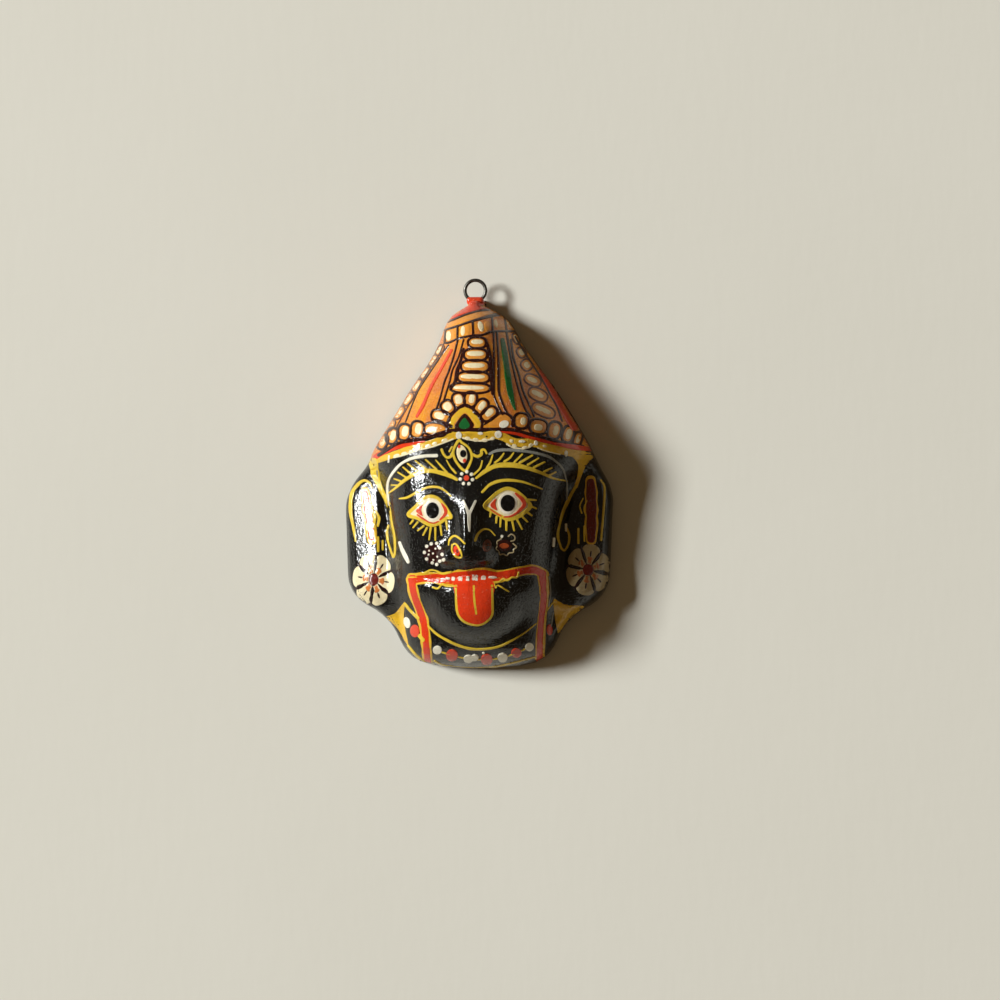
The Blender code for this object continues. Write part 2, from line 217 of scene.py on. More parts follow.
ARC_STROKES = (
    ("white", (3.6, 3.4, 3.2, 3, 2.8, 2.4, 2.2, 2.0, 1.6), (
        (436.4, 455.6), (424.7, 456), (411.4, 458.6), (401.2, 463.8), (394.1, 471.4), (389, 479.6),
        (387.3, 487.8), (387.8, 496.5), (389, 505))),
    # The right arc is a grey copy of the white left one: painted shade on the face's shaded right side
    ("faint", (2.4, 3, 3, 3, 2.8, 2.6, 2.2, 2.0, 1.6), (
        (489.6, 454), (495.7, 451), (505.9, 449.8), (521.2, 450.8), (535.5, 453), (548.8, 456.8),
        (558, 463.3), (563.6, 471), (567, 484))),
    ("faint", 1.5, ((567, 484), (566.8, 499))),
)
BROW_STROKES = (
    ("yellow", (1.6, 2.6, 3.4, 4.2, 4.6, 4.4, 4.4, 2.6), (
        (389, 493), (397.1, 486.9), (405.3, 479.9), (417.6, 472.8), (429.8, 470.8), (440, 472.6),
        (450.2, 475.9), (457, 479.6))),
    ("yellow", (2.8, 4.4, 5, 5, 5, 4, 3.2, 2.2, 1.4), (
        (476.4, 478), (485.5, 471), (495.7, 466), (505.9, 465), (517, 465.6), (529.4, 468.6),
        (541.6, 473), (553.9, 478.4), (567, 481))),
    ("yellow", (1.6, 2.6, 2.6, 2.6, 2.6, 2.2, 1.8), (
        (399.7, 498.6), (407.3, 497.4), (417.6, 492), (427.8, 487.4), (438, 487.2), (445.1, 490.8),
        (450.8, 496))),
    ("yellow", (2.6, 3.2, 3.2, 3, 2.6, 2, 1.4), (
        (482.4, 492), (489.6, 484.9), (498.8, 481.2), (509, 480.2), (521.2, 481.6), (531.4, 484.7),
        (542, 489))),
)
# Single hairs of the brows, each from its tip to its root
HAIR_WIDTHS = (1.6, 2.0, 2.4)
BROW_HAIRS = (
    ((391.5, 485), (399.2, 485.4)), ((394.4, 478.8), (402.2, 481.8)), ((398.2, 472.4), (406.3, 477.6)),
    ((403.3, 467.3), (410.4, 473.4)), ((407.9, 463.8), (417, 470.8)), ((415.5, 460.7), (426, 469)),
    ((425.7, 459.7), (436.5, 469.4)), ((435.9, 460.2), (447, 472.6)),
    ((446.6, 460.2), (450.6, 467), (455.8, 473)), ((492.7, 455), (490.4, 462), (487, 467.6)),
    ((503.9, 453.4), (500, 458.8), (495, 462.6)), ((513.6, 453), (509.8, 458), (504.4, 461.6)),
    ((522.2, 454.4), (514.6, 462)), ((532.4, 455.4), (519.8, 462.8)), ((538.6, 458.2), (528, 464.8)),
    ((544.7, 462.2), (534, 467.4)), ((551.8, 467.9), (544, 472)), ((555.6, 472), (549, 475.6)),
    ((482.3, 461), (480, 468.4), (474, 474.4)),
)
# Lashes, each from its root to its tip
LASH_WIDTHS = (2.4, 1.8)
LASHES = (
    ((413, 520.4), (410.4, 523.8)), ((417.6, 522.4), (413.4, 527.4)), ((423.7, 526), (418, 530.4)),
    ((426.9, 528), (423.2, 535)), ((430.8, 528), (429.1, 539.5)), ((435.4, 528), (435.4, 540)),
    ((440.5, 525.5), (441.6, 535)), ((446.4, 521.6), (447.3, 529.4)), ((491.1, 511.6), (490.1, 516.6)),
    ((496.7, 516.8), (496.2, 522.6)), ((500.8, 518), (500.3, 526.6)), ((506.4, 519.6), (506.4, 530)),
    ((512, 520), (514.2, 530.4)), ((516.6, 518.6), (522.2, 529)), ((520.8, 515), (527.4, 521.6)),
    ((526, 511.4), (531.6, 515.4)), ((528, 499.6), (536, 500.2)), ((529, 505.4), (536, 508.4)),
)
LEFT_EYE = (
    (408.4, 514.6), (416.2, 505.9), (421.8, 499.6), (429.6, 496.4), (437.4, 498.1), (443, 503.7),
    (447.5, 510.4), (451.2, 517.2), (446.3, 518.2), (439.6, 523.0), (431.8, 525.2), (425.1, 522.8),
    (417.3, 518.2),
)
RIGHT_EYE = (
    (484.8, 506.2), (489.9, 499.4), (497.7, 492.5), (505.5, 488.8), (512.2, 489.4), (518.9, 492.7),
    (525.6, 499.2), (530.4, 505.9), (524.5, 512.4), (515.5, 517.8), (507.7, 519.2), (501, 516.1),
    (493.2, 511.5),
)
# Each eye's outline, with the middle and the half width and half height of its pupil
EYES = ((LEFT_EYE, (432.6, 510.4), (6.6, 8.2)), (RIGHT_EYE, (507.7, 503.1), (7.4, 8.5)))
EYE_LINE = 3.6
PUPIL_RIM = (2.5, 2.7)
EYE_STROKES = (
    ("scarlet", (1.6, 2.2, 1.6), ((417.6, 514.8), (422.6, 518.4), (428.4, 521.8))),
    ("scarlet", (1.6, 2.0, 1.6), ((490.6, 509.4), (495.6, 513.0), (501, 516))),
    ("scarlet", (2.2, 4.4, 3.6, 2.0), ((442.0, 503.6), (446.0, 510.6), (444.4, 515.4), (440.2, 519.6))),
    ("scarlet", 1.8, ((428.6, 522.2), (434, 523.2), (438.2, 521.6))),
    ("scarlet", (2.6, 4.2, 4.2, 2.6), ((515.8, 493.6), (522.4, 499.6), (524.0, 505.2), (517.6, 512.4))),
    ("scarlet", (2.4, 2.2, 1.8), ((517.6, 512.4), (510.6, 516.4), (504, 517))),
)
THIRD_EYE = (
    (458.8, 440.4), (454, 448.6), (453.6, 455.4), (457.6, 463.6), (465, 470.6), (470.2, 463),
    (471.8, 455.4), (468.6, 447.6), (461.6, 442.4),
)
THIRD_EYE_LINE = 2.8
THIRD_EYE_STROKES = (
    ("yellow", 2.6, ((453, 452), (450.8, 456.4), (447, 457.4), (443.6, 454.2), (441.8, 449.8))),
    ("yellow", 1.8, ((452, 446.8), (449.4, 451.4))),
    ("yellow", (3, 3, 3, 2.6, 2.2, 1.8), (
        (471.8, 454), (477.4, 456.4), (481.4, 454.2), (481.6, 450.4), (484.6, 449.8), (486.6, 453.4))),
    ("white", (2.4, 2.8, 3.2), ((463.4, 500.8), (466.2, 507.4), (469, 514.6))),
    ("white", (2.4, 2.8, 3.2), ((475.4, 501.2), (472.4, 507.6), (469.2, 514))),
    ("white", (3.4, 3.6, 3.0, 1.8), ((469.2, 512), (469.1, 519), (469.2, 525), (469.5, 531))),
)
NOSE_STROKES = (
    ("yellow", (1.6, 2.2, 2.4, 2.2, 1.8), (
        (448.7, 545), (449.8, 539.4), (454.3, 535.9), (459, 538), (464.8, 543.6))),
    ("yellow", (2.8, 2.6, 2.0, 1.6, 1.2), (
        (475.3, 540.4), (477.9, 533.9), (483.5, 529.4), (489.6, 530), (495, 535.4))),
)
CHEEK_STROKES = (
    # The right cheek's cream curls are painted in a dull cream: painted shade
    ("tan", 1.3, (
        (513.2, 543.6), (516.6, 547), (513.6, 549.6), (513.4, 552.4), (508.8, 553.2), (507, 555.6),
        (503, 554), (499.6, 554.6), (498.8, 551.2), (496.2, 548.8), (497.6, 545.4), (497.0, 541.6),
        (500.4, 539.4), (502.4, 536.6))),
    ("tan", 1.4, ((508.4, 536.4), (511.4, 534.2), (514.8, 536.6), (514.4, 540.2), (511, 541.2))),
    ("yellow", 1.9, (
        (452.2, 545.0), (455.6, 543.8), (459.8, 549.6), (461.8, 556.8), (456.6, 557.0), (452.2, 551.4),
        (452.2, 545.0))),
)
EAR_STROKES = (
    ("yellow", (2, 2.8, 3, 3.4, 3.8, 3.6, 3, 2), (
        (371.8, 487.4), (369.4, 482.8), (364.2, 480.6), (358, 484.6), (351.8, 494), (350.6, 511),
        (353.6, 527.4), (355.8, 541))),
    ("gold", (9, 11, 11, 10), ((365, 491), (367, 505), (370, 524), (372, 540))),
    ("red", (5.6, 7.4, 7.4, 6), ((365, 493), (367, 505), (370, 524), (371.6, 538))),
    ("yellow", (2.2, 3.2, 2.6), ((372.2, 511), (375, 517), (373.6, 526.4))),
    ("yellow", (2.2, 3.0, 2.4), ((375.8, 511), (379, 518), (377.8, 525.6))),
    ("yellow", 2.6, ((378, 537.4), (378.2, 551))),
    ("yellow", 2.2, ((382.8, 541), (382.8, 549.4))),
    ("gold", (11, 13, 13, 11.5), ((590.6, 480.5), (591.2, 495), (591.4, 520), (591.2, 540))),
    # The right ear's strip is painted maroon where the left one is red: painted shade on the ear in shadow
    ("maroon", (7.6, 9.8, 9.8, 8.4), ((590.6, 482.4), (591.2, 495), (591.4, 520), (591.2, 539))),
    ("yellow", (1.6, 2.4, 2.4, 2.2), ((600.6, 480), (604.4, 488), (603.6, 509), (601, 540))),
    ("yellow", 1.6, ((582.9, 498.6), (579.8, 506), (581.7, 513))),
    ("yellow", 1.6, ((586.6, 500.9), (584, 508.4), (585.8, 515.6))),
    ("yellow", 2.4, ((578.3, 529), (578.3, 543))),
    ("yellow", 2.0, ((584.2, 526), (584.4, 541))),
)
MOUTH_STROKES = (
    ("gold", (11, 12, 12, 13, 16.5, 17.5, 17.5, 14, 11.5, 10.5, 10.5, 11), (
        (411.6, 580), (420, 578.4), (432, 577.6), (444, 579), (456, 578.6), (470, 577.6), (484, 576.4),
        (498, 576.6), (510, 573.8), (522, 571), (534, 569.8), (543.4, 573.4))),
    ("gold", (11.5, 10.5, 10, 10.5, 11, 10.6, 10.4, 11, 11), (
        (411.8, 578), (412.3, 587.3), (415, 598), (419.5, 609.6), (423, 620.4), (424.8, 631),
        (426, 642.7), (427, 654.3), (428.4, 666))),
    ("gold", (11, 10, 9.6, 9.6, 9.4, 9.6, 10), (
        (543, 575), (544.2, 589.7), (544.2, 601.2), (542.3, 616.5), (541, 630.9), (540.3, 645.2),
        (540, 660))),
    ("red", (7, 8.2, 8.2, 9, 12.5, 13.5, 13.5, 9.6, 7.6, 6.6, 6.6, 7.4), (
        (412.2, 580.4), (420, 578.8), (432, 578.2), (444, 579), (456, 578.4), (470, 577.4), (484, 576.2),
        (498, 576.4), (510, 573.8), (522, 571.2), (534, 570), (542.6, 573.8))),
    ("red", (8, 7, 6.4, 7, 7.4, 7, 7, 7.4, 7.6), (
        (412.4, 579), (412.6, 587.3), (415.2, 598), (419.7, 609.6), (423.2, 620.4), (425, 631),
        (426, 642.7), (427, 654.3), (428.4, 667))),
    ("red", (7.6, 6.6, 6.2, 6, 6, 6.2, 6.6), (
        (542.4, 575), (543.4, 589.7), (543.5, 601.2), (541.6, 616.5), (540.4, 630.9), (539.8, 645.2),
        (539.6, 661))),
    ("yellow", (2.2, 2.2, 1.6, 2.2, 2.0), (
        (425, 573), (430.4, 570.2), (436, 570.8), (443, 573.6), (451, 572))),
    ("yellow", 1.9, ((432.9, 587.3), (438, 588.4), (442.6, 583.6), (445.4, 585.8), (455.6, 586.2))),
    ("yellow", 1.9, (
        (493, 582.4), (499, 581.8), (503, 578.6), (507, 580.4), (512, 577.4), (517, 577.4),
        (518.6, 572.4))),
    ("yellow", 1.6, ((494, 583), (495.8, 588), (498, 585.4), (508.6, 591.4))),
    ("yellow", 2.3, ((473.8, 586.6), (474.3, 599.3), (476.2, 613.4))),
    # A grey line on the shaded right side: painted shade
    ("faint", 1.6, ((549, 577), (550.4, 592), (548.6, 606))),
)
TEETH = (
    ((453.4, 578.8), (2.0, 2.1)), ((460.5, 578.8), (2.3, 2.5)), ((467.8, 578.4), (2.0, 2.8)),
    ((475.0, 577.8), (3.2, 3.2)), ((483.4, 577.8), (2.5, 2.3)), ((447.8, 578.4), (2.4, 1.3)),
)
TOOTH_FULLNESS = 0.45
TOOTH_TURN = 4
TONGUE_TIP = (
    (456.3, 602), (457.9, 613.6), (463.2, 620.6), (471.6, 624.4), (479.6, 624.8), (486.6, 621.4),
    (492, 614.6), (492.4, 602),
)
TONGUE = ((456, 578), *TONGUE_TIP, (492, 578))
TONGUE_LINE = ((456, 586), *TONGUE_TIP, (492, 586))
TONGUE_EDGE = 2.7
CHIN_STROKES = (
    ("yellow", (2.0, 2.4, 2.6, 2.8, 2.8, 2.6, 2.4, 2.0, 1.6, 1.4), (
        (428.4, 626), (436.4, 633.8), (447, 640.2), (458.8, 645.6), (472, 649), (486.3, 649),
        (499.7, 646.2), (512, 640.4), (524.5, 632.8), (536, 623.6))),
    ("yellow", 1.6, (
        (437.3, 650.6), (452, 655.4), (468.6, 658.8), (486.7, 659.6), (502.5, 657.7), (516.4, 652.9),
        (530, 646.6))),
    ("yellow", (2, 2, 2.6, 2.2, 2, 1.8, 1.6), (
        (434.6, 661), (443, 665), (455, 667.4), (472, 668.4), (489, 667.6), (508.3, 664), (536, 656.6))),
    ("yellow", 3.0, ((405, 604), (411, 611.4), (418, 618))),
    ("yellow", (2, 2.6, 2.6), ((407.9, 645.4), (415.9, 655), (426, 663.4))),
    ("yellow", 4.0, ((419.4, 635.6), (423, 640))),
    ("yellow", 1.6, ((554, 601), (546.5, 611))),
    # A grey line on the shaded right side: painted shade
    ("faint", 1.6, ((553, 613), (551, 626))),
)

# Filled shapes: the coat and the outline's points
AREAS = (
    ("scarlet", (
        (445.5, 321), (449.5, 315), (455.5, 309.5), (462, 305.5), (465.5, 301), (466.8, 299),
        (483.4, 299), (486.4, 306), (491.6, 308), (477, 310.6), (461.8, 315), (454, 318.4))),
    ("brown", (
        (454.6, 427.4), (456.6, 422), (464.8, 413.6), (472.4, 421.8), (473.6, 426.4), (468, 430.4),
        (459, 430.6))),
    ("green", (
        (458.8, 426), (460, 422.4), (464.6, 417.6), (468.6, 422), (470, 426), (466.4, 429),
        (461, 428.8))),
    ("amber", (
        (488.6, 424.6), (495, 419), (501.4, 414.4), (508, 413.6), (510.8, 418), (510.4, 425.6),
        (498, 426.2))),
    ("scarlet", ((416, 511), (422.8, 504.6), (421.6, 510), (423, 516.4))),
    ("scarlet", ((490, 505.4), (496.2, 498.4), (495.4, 504), (497, 510.6))),
    ("gold", (
        (568, 451), (594, 454), (587, 464), (582, 475), (577, 488), (573.6, 488), (577, 477), (578, 465),
        (573, 457.4))),
    ("gold", (
        (382, 618), (394.5, 613.4), (402, 604.6), (405, 602.4), (403.8, 616), (405.4, 629.3),
        (408.4, 645), (404, 640), (400, 632), (391, 622))),
    ("gold", (
        (553.4, 599.5), (559, 601.4), (566.6, 605), (584, 606.5), (572, 617), (565, 631), (561, 641),
        (557.4, 631), (555, 619))),
)

# Round and oval touches: the coat, the middle, the half width and half height, and the turn in degrees
SPOTS = (
    ("cream", (448.4, 335.8), (2.8, 4.8), 4), ("cream", (462.8, 330.8), (2.3, 4.9), 4),
    ("cream", (480.8, 326.4), (2.8, 5.4), -16), ("cream", (495.8, 323.6), (1.8, 4.2), -10),
    ("cream", (509.0, 322.6), (2.0, 6.2), -30),
    ("amber", (452.8, 334.6), (3.2, 5.0), 0), ("amber", (467.4, 330.2), (3.0, 5.0), 0),
    ("amber", (487.4, 325.8), (3.6, 5.2), 0),
    ("white", (504, 424.2), (5, 3.8), -20), ("white", (458.9, 435.4), (3.2, 3.8), 0),
    ("white", (418.4, 447), (2.0, 3.8), 0), ("white", (498.3, 434.4), (3.6, 3.8), 30),
    ("white", (566, 453.6), (1.8, 3.2), 0), ("white", (480.4, 433.4), (2.8, 1.5), 0),
    ("white", (522, 441.4), (3.4, 1.6), 0),
    ("cream", (396.4, 455.6), (3.4, 1.8), -20), ("cream", (404, 453.4), (3.2, 1.7), -18),
    ("cream", (411, 451.6), (2.6, 1.8), -20),
    ("cream", (428, 446.0), (3.2, 1.8), -20), ("cream", (434.6, 443.6), (2.6, 1.9), -22),
    ("cream", (444.4, 440.4), (3.4, 1.8), -20),
    ("cream", (467.6, 438.4), (3.0, 2.0), 10), ("cream", (475.6, 439.8), (3.2, 2.0), 5),
    ("cream", (484.8, 440.2), (3.6, 1.9), 0),
    ("cream", (492.6, 438.4), (2.6, 1.9), -15), ("cream", (511.6, 441.0), (2.4, 1.8), 30),
    ("cream", (514.6, 446.0), (2.8, 2.0), 35),
    ("cream", (525.0, 447.6), (3.2, 1.8), -5), ("cream", (530.6, 444.8), (2.4, 1.7), -30),
    ("cream", (544.6, 446.2), (2.2, 1.4), 15),
    ("white", (536, 443), (2, 2.6), 0), ("black", (486.6, 436.4), (0.9, 0.9), 0),
    ("cream", (461.9, 454), (5.2, 9.2), -12), ("black", (463.2, 453.6), (3.3, 3.9), 0),
    ("scarlet", (464.6, 460.6), (1.8, 2.2), 20), ("scarlet", (459.2, 446.6), (1.4, 2.0), 20),
    ("scarlet", (466.5, 478), (2.9, 3.0), 0),
    ("red", (456.6, 550.9), (3.2, 5.4), -14), ("maroon", (457.4, 551.2), (1.3, 2.2), -14),
    ("rust", (487.2, 545.6), (4.6, 6.4), 8), ("brown", (487.4, 546.4), (2.4, 3.8), 8),
    ("brown", (434.2, 553.8), (10.4, 10.8), 0), ("brown", (504.6, 545.6), (7.6, 6.0), 0),
    ("ember", (504.2, 545.8), (5.0, 3.0), 0),
    ("white", (492.4, 577.4), (4.6, 1.5), 0), ("white", (502, 536.4), (1.4, 1.6), 0),
    ("white", (437.3, 650), (4.6, 4.4), 0), ("scarlet", (452, 655.2), (6, 6), 0),
    ("white", (468.4, 658.8), (5, 4.2), 0),
    ("white", (474.6, 657.6), (4.2, 3.4), -10), ("scarlet", (486.7, 659.4), (6, 5.8), 0),
    ("white", (483.6, 653), (1.5, 1.3), 0),
    ("white", (502.6, 657.4), (5.2, 4.8), 0), ("scarlet", (516.4, 652.8), (5.2, 4.8), 0),
    ("white", (529.4, 647), (4.4, 4.2), -20),
    ("white", (407, 622.6), (3.2, 5.8), -15), ("scarlet", (415, 631), (4.8, 6.4), -5),
    ("scarlet", (549.6, 629.6), (3, 5.6), 0),
)

# The crown's beads: the middle, the half width and height, the turn, and the core's place and size as shares
BEADS = (
    ((477.1, 342.7), (8.0, 4.4), 0, (0.0, -0.20), (0.72, 0.55)),
    ((475.6, 354.7), (10.6, 5.0), 0, (0.0, -0.22), (0.78, 0.52)),
    ((475.1, 366.4), (13.0, 5.4), 0, (-0.05, -0.18), (0.76, 0.48)),
    ((473.6, 377.4), (15.0, 5.0), 1, (-0.06, -0.16), (0.78, 0.48)),
    ((470.2, 388.0), (18.8, 4.2), 1, (-0.08, -0.10), (0.80, 0.50)),
    ((440.6, 416.4), (8.4, 5.2), 18, (-0.14, -0.12), (0.62, 0.66)),
    ((447.8, 407.2), (5.4, 6.0), -38, (-0.04, -0.10), (0.76, 0.72)),
    ((458.4, 400.2), (5.0, 6.4), -14, (0.04, -0.12), (0.74, 0.70)),
    ((470.6, 399.4), (5.2, 6.6), 10, (0.22, -0.10), (0.56, 0.68)),
    ((481.0, 406.8), (4.8, 7.4), 36, (0.20, -0.14), (0.60, 0.66)),
    ((489.0, 413.8), (4.8, 7.6), 52, (0.10, -0.16), (0.64, 0.62)),
    ((435.4, 429.4), (10.4, 5.6), 6, (-0.30, 0.05), (0.46, 0.60)),
    ((417.2, 429.6), (5.6, 7.4), 12, (0.20, -0.12), (0.56, 0.70)),
    ((404.2, 432.2), (5.4, 7.2), 12, (0.18, -0.10), (0.60, 0.72)),
    ((392.2, 436.0), (4.8, 7.0), 16, (0.16, -0.08), (0.58, 0.70)),
    ((382.6, 442.0), (3.8, 6.6), 22, (0.10, -0.08), (0.56, 0.66)),
    ((521.4, 420.8), (6.4, 6.6), 4, (0.30, 0.06), (0.46, 0.56)),
    ((538.4, 426.6), (8.0, 6.4), 10, (-0.02, 0.14), (0.52, 0.52)),
    ((554.4, 430.4), (5.6, 7.6), 14, (0.22, 0.02), (0.50, 0.66)),
    ((568.0, 434.2), (4.6, 7.4), 16, (0.14, 0.00), (0.62, 0.70)),
    ((577.8, 439.0), (3.2, 6.2), 18, (0.10, 0.00), (0.60, 0.66)),
)
# The beads on the crown's sides, which have a thinner and paler line
SIDE_BEADS = (
    ((439.6, 350.0), (2.6, 5.2), 34, (-0.10, 0.00), (0.72, 0.76)),
    ((433.0, 360.6), (2.8, 5.8), 34, (-0.10, 0.00), (0.72, 0.76)),
    ((425.0, 372.8), (3.0, 6.2), 34, (-0.10, 0.00), (0.70, 0.76)),
    ((416.6, 385.6), (3.2, 6.4), 34, (-0.10, 0.00), (0.66, 0.76)),
    ((408.0, 399.0), (3.2, 6.6), 34, (-0.10, 0.00), (0.66, 0.76)),
    ((399.0, 412.6), (3.4, 6.6), 36, (-0.10, 0.00), (0.66, 0.76)),
    ((390.0, 425.4), (3.2, 6.0), 38, (-0.10, 0.00), (0.66, 0.74)),
    ((516.2, 338.6), (2.6, 5.0), -26, (0.00, 0.00), (0.70, 0.76)),
    ((521.4, 352.4), (3.6, 4.8), -30, (0.05, 0.00), (0.66, 0.70)),
    ((526.6, 365.0), (4.6, 5.2), -40, (0.05, 0.00), (0.60, 0.62)),
    ((532.6, 380.2), (8.0, 4.6), 24, (-0.05, -0.10), (0.66, 0.50)),
    ((538.0, 394.6), (9.4, 5.4), 26, (-0.05, -0.12), (0.68, 0.46)),
    ((543.4, 410.4), (11.6, 5.2), 24, (-0.02, -0.10), (0.70, 0.46)),
)
# The width of each kind's line, the cores' growth, the ovals' fullness and the line's share outside them
BEAD_LINE = 2.8
SIDE_LINE = 1.8
CORE_SIZE = 1.06
FULLNESS = 0.80
LINE_OUTSIDE = 0.4

# The ears' rosettes: the coats of petals and their feet, the middle, the radii, the petals and the turn
ROSETTES = (
    ("cream", "blush", (373.6, 579.6), (21.0, 26.8), 6, 8),
    # The right rosette's petals and feet are darker copies of the left's colours: painted shade on the ear in
    # shadow
    ("tan", "shaded_blush", (588.2, 569.8), (22.6, 25.8), 6, -20),
)
# A rosette's marks, from where to where as shares of its radii, its heart's size and its dark marks' widths
PETAL = (0.24, 1.0)
PETAL_FOOT = (0.25, 0.52)
PETAL_DASH = (0.54, 0.72)
PETAL_DIVIDE = (0.26, 0.97)
HEART = (0.24, 0.22)
DASH_WIDTHS = (1.4, 2.2, 1.4)
DIVIDE_WIDTHS = (1.4, 1.8)
# A petal's shape: the gap beside it, its foot's share of its width, its rounding at the corners and between
PETAL_GAP = 0.045
FOOT_WIDTH = 0.66
PETAL_ROUNDING = (0.11, 0.02)
PETAL_POINTS = 17

# White dots: those of the left cheek and their crumbs, and those of the flower between the brows
CHEEK_DOTS = (
    (431.3, 543.8), (436.9, 543.3), (439.8, 547.9), (442.4, 554.4), (443.6, 559.8), (440.0, 561.0),
    (436.9, 564.4), (432.4, 562.8), (426.8, 558.9), (424.6, 552.4), (426.8, 546.3),
)
CHEEK_CRUMBS = (
    (435.7, 548.6), (429.2, 550.6), (428.8, 554.4), (433.5, 559.8), (433.2, 553.4), (437.6, 556.6),
)
FLOWER = (466.5, 478.0)
FLOWER_RADIUS = 6.3
FLOWER_PETALS = 7
FLOWER_TURN = 0.3
DOT = (1.9, 1.9)
CRUMB = (1.2, 1.2)

# The lists of strokes in the order they are laid
STROKES = (
    CROWN_STROKES, CREST_STROKES, BORDER_STROKES, FACE_SIDE_STROKES, ARC_STROKES, BROW_STROKES, EYE_STROKES,
    THIRD_EYE_STROKES, NOSE_STROKES, CHEEK_STROKES, EAR_STROKES, MOUTH_STROKES, CHIN_STROKES,
)

# The paint dried round the foot of the wire eye
COLLAR_PLACE = (-0.00048, 0.0442, 0.0045)
COLLAR_SIZE = (0.0043, 0.0021, 0.0026)
COLLAR_ROUND = 0.0008
COLLAR_SEGMENTS = 5

# The ground's colours: the black face, dusty in places, the orange crown with its dark rim, and the raw pulp
GROUND = "0A0A0B"
GROUND_DUSTY = "141413"
CROWN_LOW = "CF7636"
CROWN_HIGH = "DE9220"
RIM_DARK = "3B2414"
RIM_HEIGHTS = (0.0014, 0.0034)
PULP_DARK = "8F7A5C"
PULP_PALE = "B7A27E"

# Where one of the ground's colours goes over into the next
CROWN_EDGE = (-0.2, 0.2)
PATCH_EDGE = (0.38, 0.62)
SKIN_EDGE = (0.4, 0.6)

# Grains: the lumps in a metre, and where it is given the layers of detail, their strength and the stretch
PAINT_BROAD = (260.0, 3.0)
PAINT_FINE = (1500.0,)
DUST = (330.0, 3.0)
PATCHES = (170.0, 4.0, 0.6, (1.0, 0.5, 1.0))
PULP = (700.0, 4.0)
VARNISH_BROAD = (420.0, 3.0)
VARNISH_FINE = (1900.0, 1.5)
SPECKS = (2300.0, 1.0)
TARNISH = (900.0, 4.0)
SCRATCHES = (5200.0, 2.0, 0.6, (1.0, 0.15, 1.0))
FLOOR_MOTTLE = (9.0, 5.0)
FLOOR_THREADS = ((420.0, 2.0, 0.5, (1.0, 0.25, 1.0)), (420.0, 2.0, 0.5, (0.25, 1.0, 1.0)))
FLOOR_GRAIN = (60.0, 3.0)

# Thick and thin paint: the shares of the broad and the fine grain, and how far the colour changes
PAINT_SHARES = (0.6, 0.4)
GROUND_CHANGE = 0.35
BRUSH_CHANGE = 0.45

# Varnish: its grains' heights, the band of noise that makes a speck, and its roughness, ridges and shine
BROAD_HEIGHT = 0.5
FINE_HEIGHT = 1.3
SPECK_HEIGHT = 1.6
SPECK_EDGE = (0.58, 0.70)
GROUND_ROUGHNESS = 0.10
CROWN_DULLER = 0.16
PULP_ROUGHNESS = 0.85
BRUSH_ROUGHNESS = 0.13
ROUGHNESS_CHANGE = (0.35, 0.75, -0.03, 0.05)
GROUND_FINISH = (0.00006, 1.50)
BRUSH_FINISH = (0.00005, 1.46)

# The wire: bright and tarnished steel, and how rough each is
STEEL = (0.16, 0.155, 0.14, 1.0)
TARNISHED = (0.045, 0.035, 0.028, 1.0)
TARNISH_EDGE = (0.35, 0.7)
STEEL_ROUGHNESS = (0.32, 0.62)
SCRATCH_DEPTH = 0.00002
SCRATCH_STRENGTH = 0.5

# The floor
FLOOR_SIZE = 4.0
FLOOR_DARK = "DAD7CC"
FLOOR_PALE = "E0DDD3"
FLOOR_ROUGHNESS = 0.75
THREAD_SHARE = 0.5
FLOOR_DEPTH = 0.0004
FLOOR_STRENGTH = 0.10

# Light and camera
WINDOW_AZIMUTH = math.radians(165)
WINDOW_ELEVATION = math.radians(36.5)
WINDOW_DISTANCE = 8.0
WINDOW_SIZE = (2.125, 1.50)
WINDOW_POWER = 890.0
WINDOW_COLOUR = (0.975, 1.0, 0.985)
ROOM_COLOUR = (1.0, 0.68, 0.36, 1.0)
ROOM_STRENGTH = 0.10
SENSOR_WIDTH = 36.0
NEAREST_SEEN = 0.01

# How the shaders' nodes are laid out
NODES_IN_A_ROW = 12
NODE_SPACING = (190, 260)


def linear(code):
    """A paint's opaque colour from its six-digit code, as the shaders take it."""
    shares = [int(code[i : i + 2], 16) / 255 for i in (0, 2, 4)]
    return (*(s / 12.92 if s <= 0.04045 else ((s + 0.055) / 1.055) ** 2.4 for s in shares), 1.0)


def deselect():
    if bpy.context.mode != "OBJECT":
        bpy.ops.object.mode_set(mode="OBJECT")
    bpy.ops.object.select_all(action="DESELECT")


def make_active(piece):
    deselect()
    piece.select_set(True)
    bpy.context.view_layer.objects.active = piece


def smooth_line(points, values=None, closed=False):
    """Points every step or so along a smooth curve through the given ones, with values carried along."""
    points = np.array(points, float)
    values = np.ones(len(points)) if values is None else np.array(values, float)
    if closed:
        points = np.vstack([points, points[:1]])
        before, after = points[-2], points[1]
    else:
        before, after = 2 * points[0] - points[1], 2 * points[-1] - points[-2]
    ends = np.vstack([before, points, after])
    places = np.linspace(0, len(points) - 1, len(values))
    line, carried = [], []
    for i in range(len(points) - 1):
        a, b, c, d = ends[i : i + 4]
        count = max(2, round(np.hypot(*(c - b)) / STEP))
        bend, twist = 2 * a - 5 * b + 4 * c - d, 3 * b - a - 3 * c + d
        for t in np.linspace(0, 1, count, endpoint=i == len(points) - 2):
            line.append(0.5 * (2 * b + (c - a) * t + bend * t**2 + twist * t**3))
            carried.append(np.interp(i + t, places, values))
    return np.array(line), np.array(carried)


def shares_across(half):
    """Where the points of a stroke's cross-section lie, from -1 at one edge to 1 at the other."""
    flank = min(WIDEST_FLANK, FLANK / (half * PIXEL * 1000))
    inner = np.linspace(flank - 1, 1 - flank, 2 * max(1, math.ceil(half * (1 - flank) / SPACING)) + 1)
    return np.concatenate([[-1.0], inner, [1.0]])


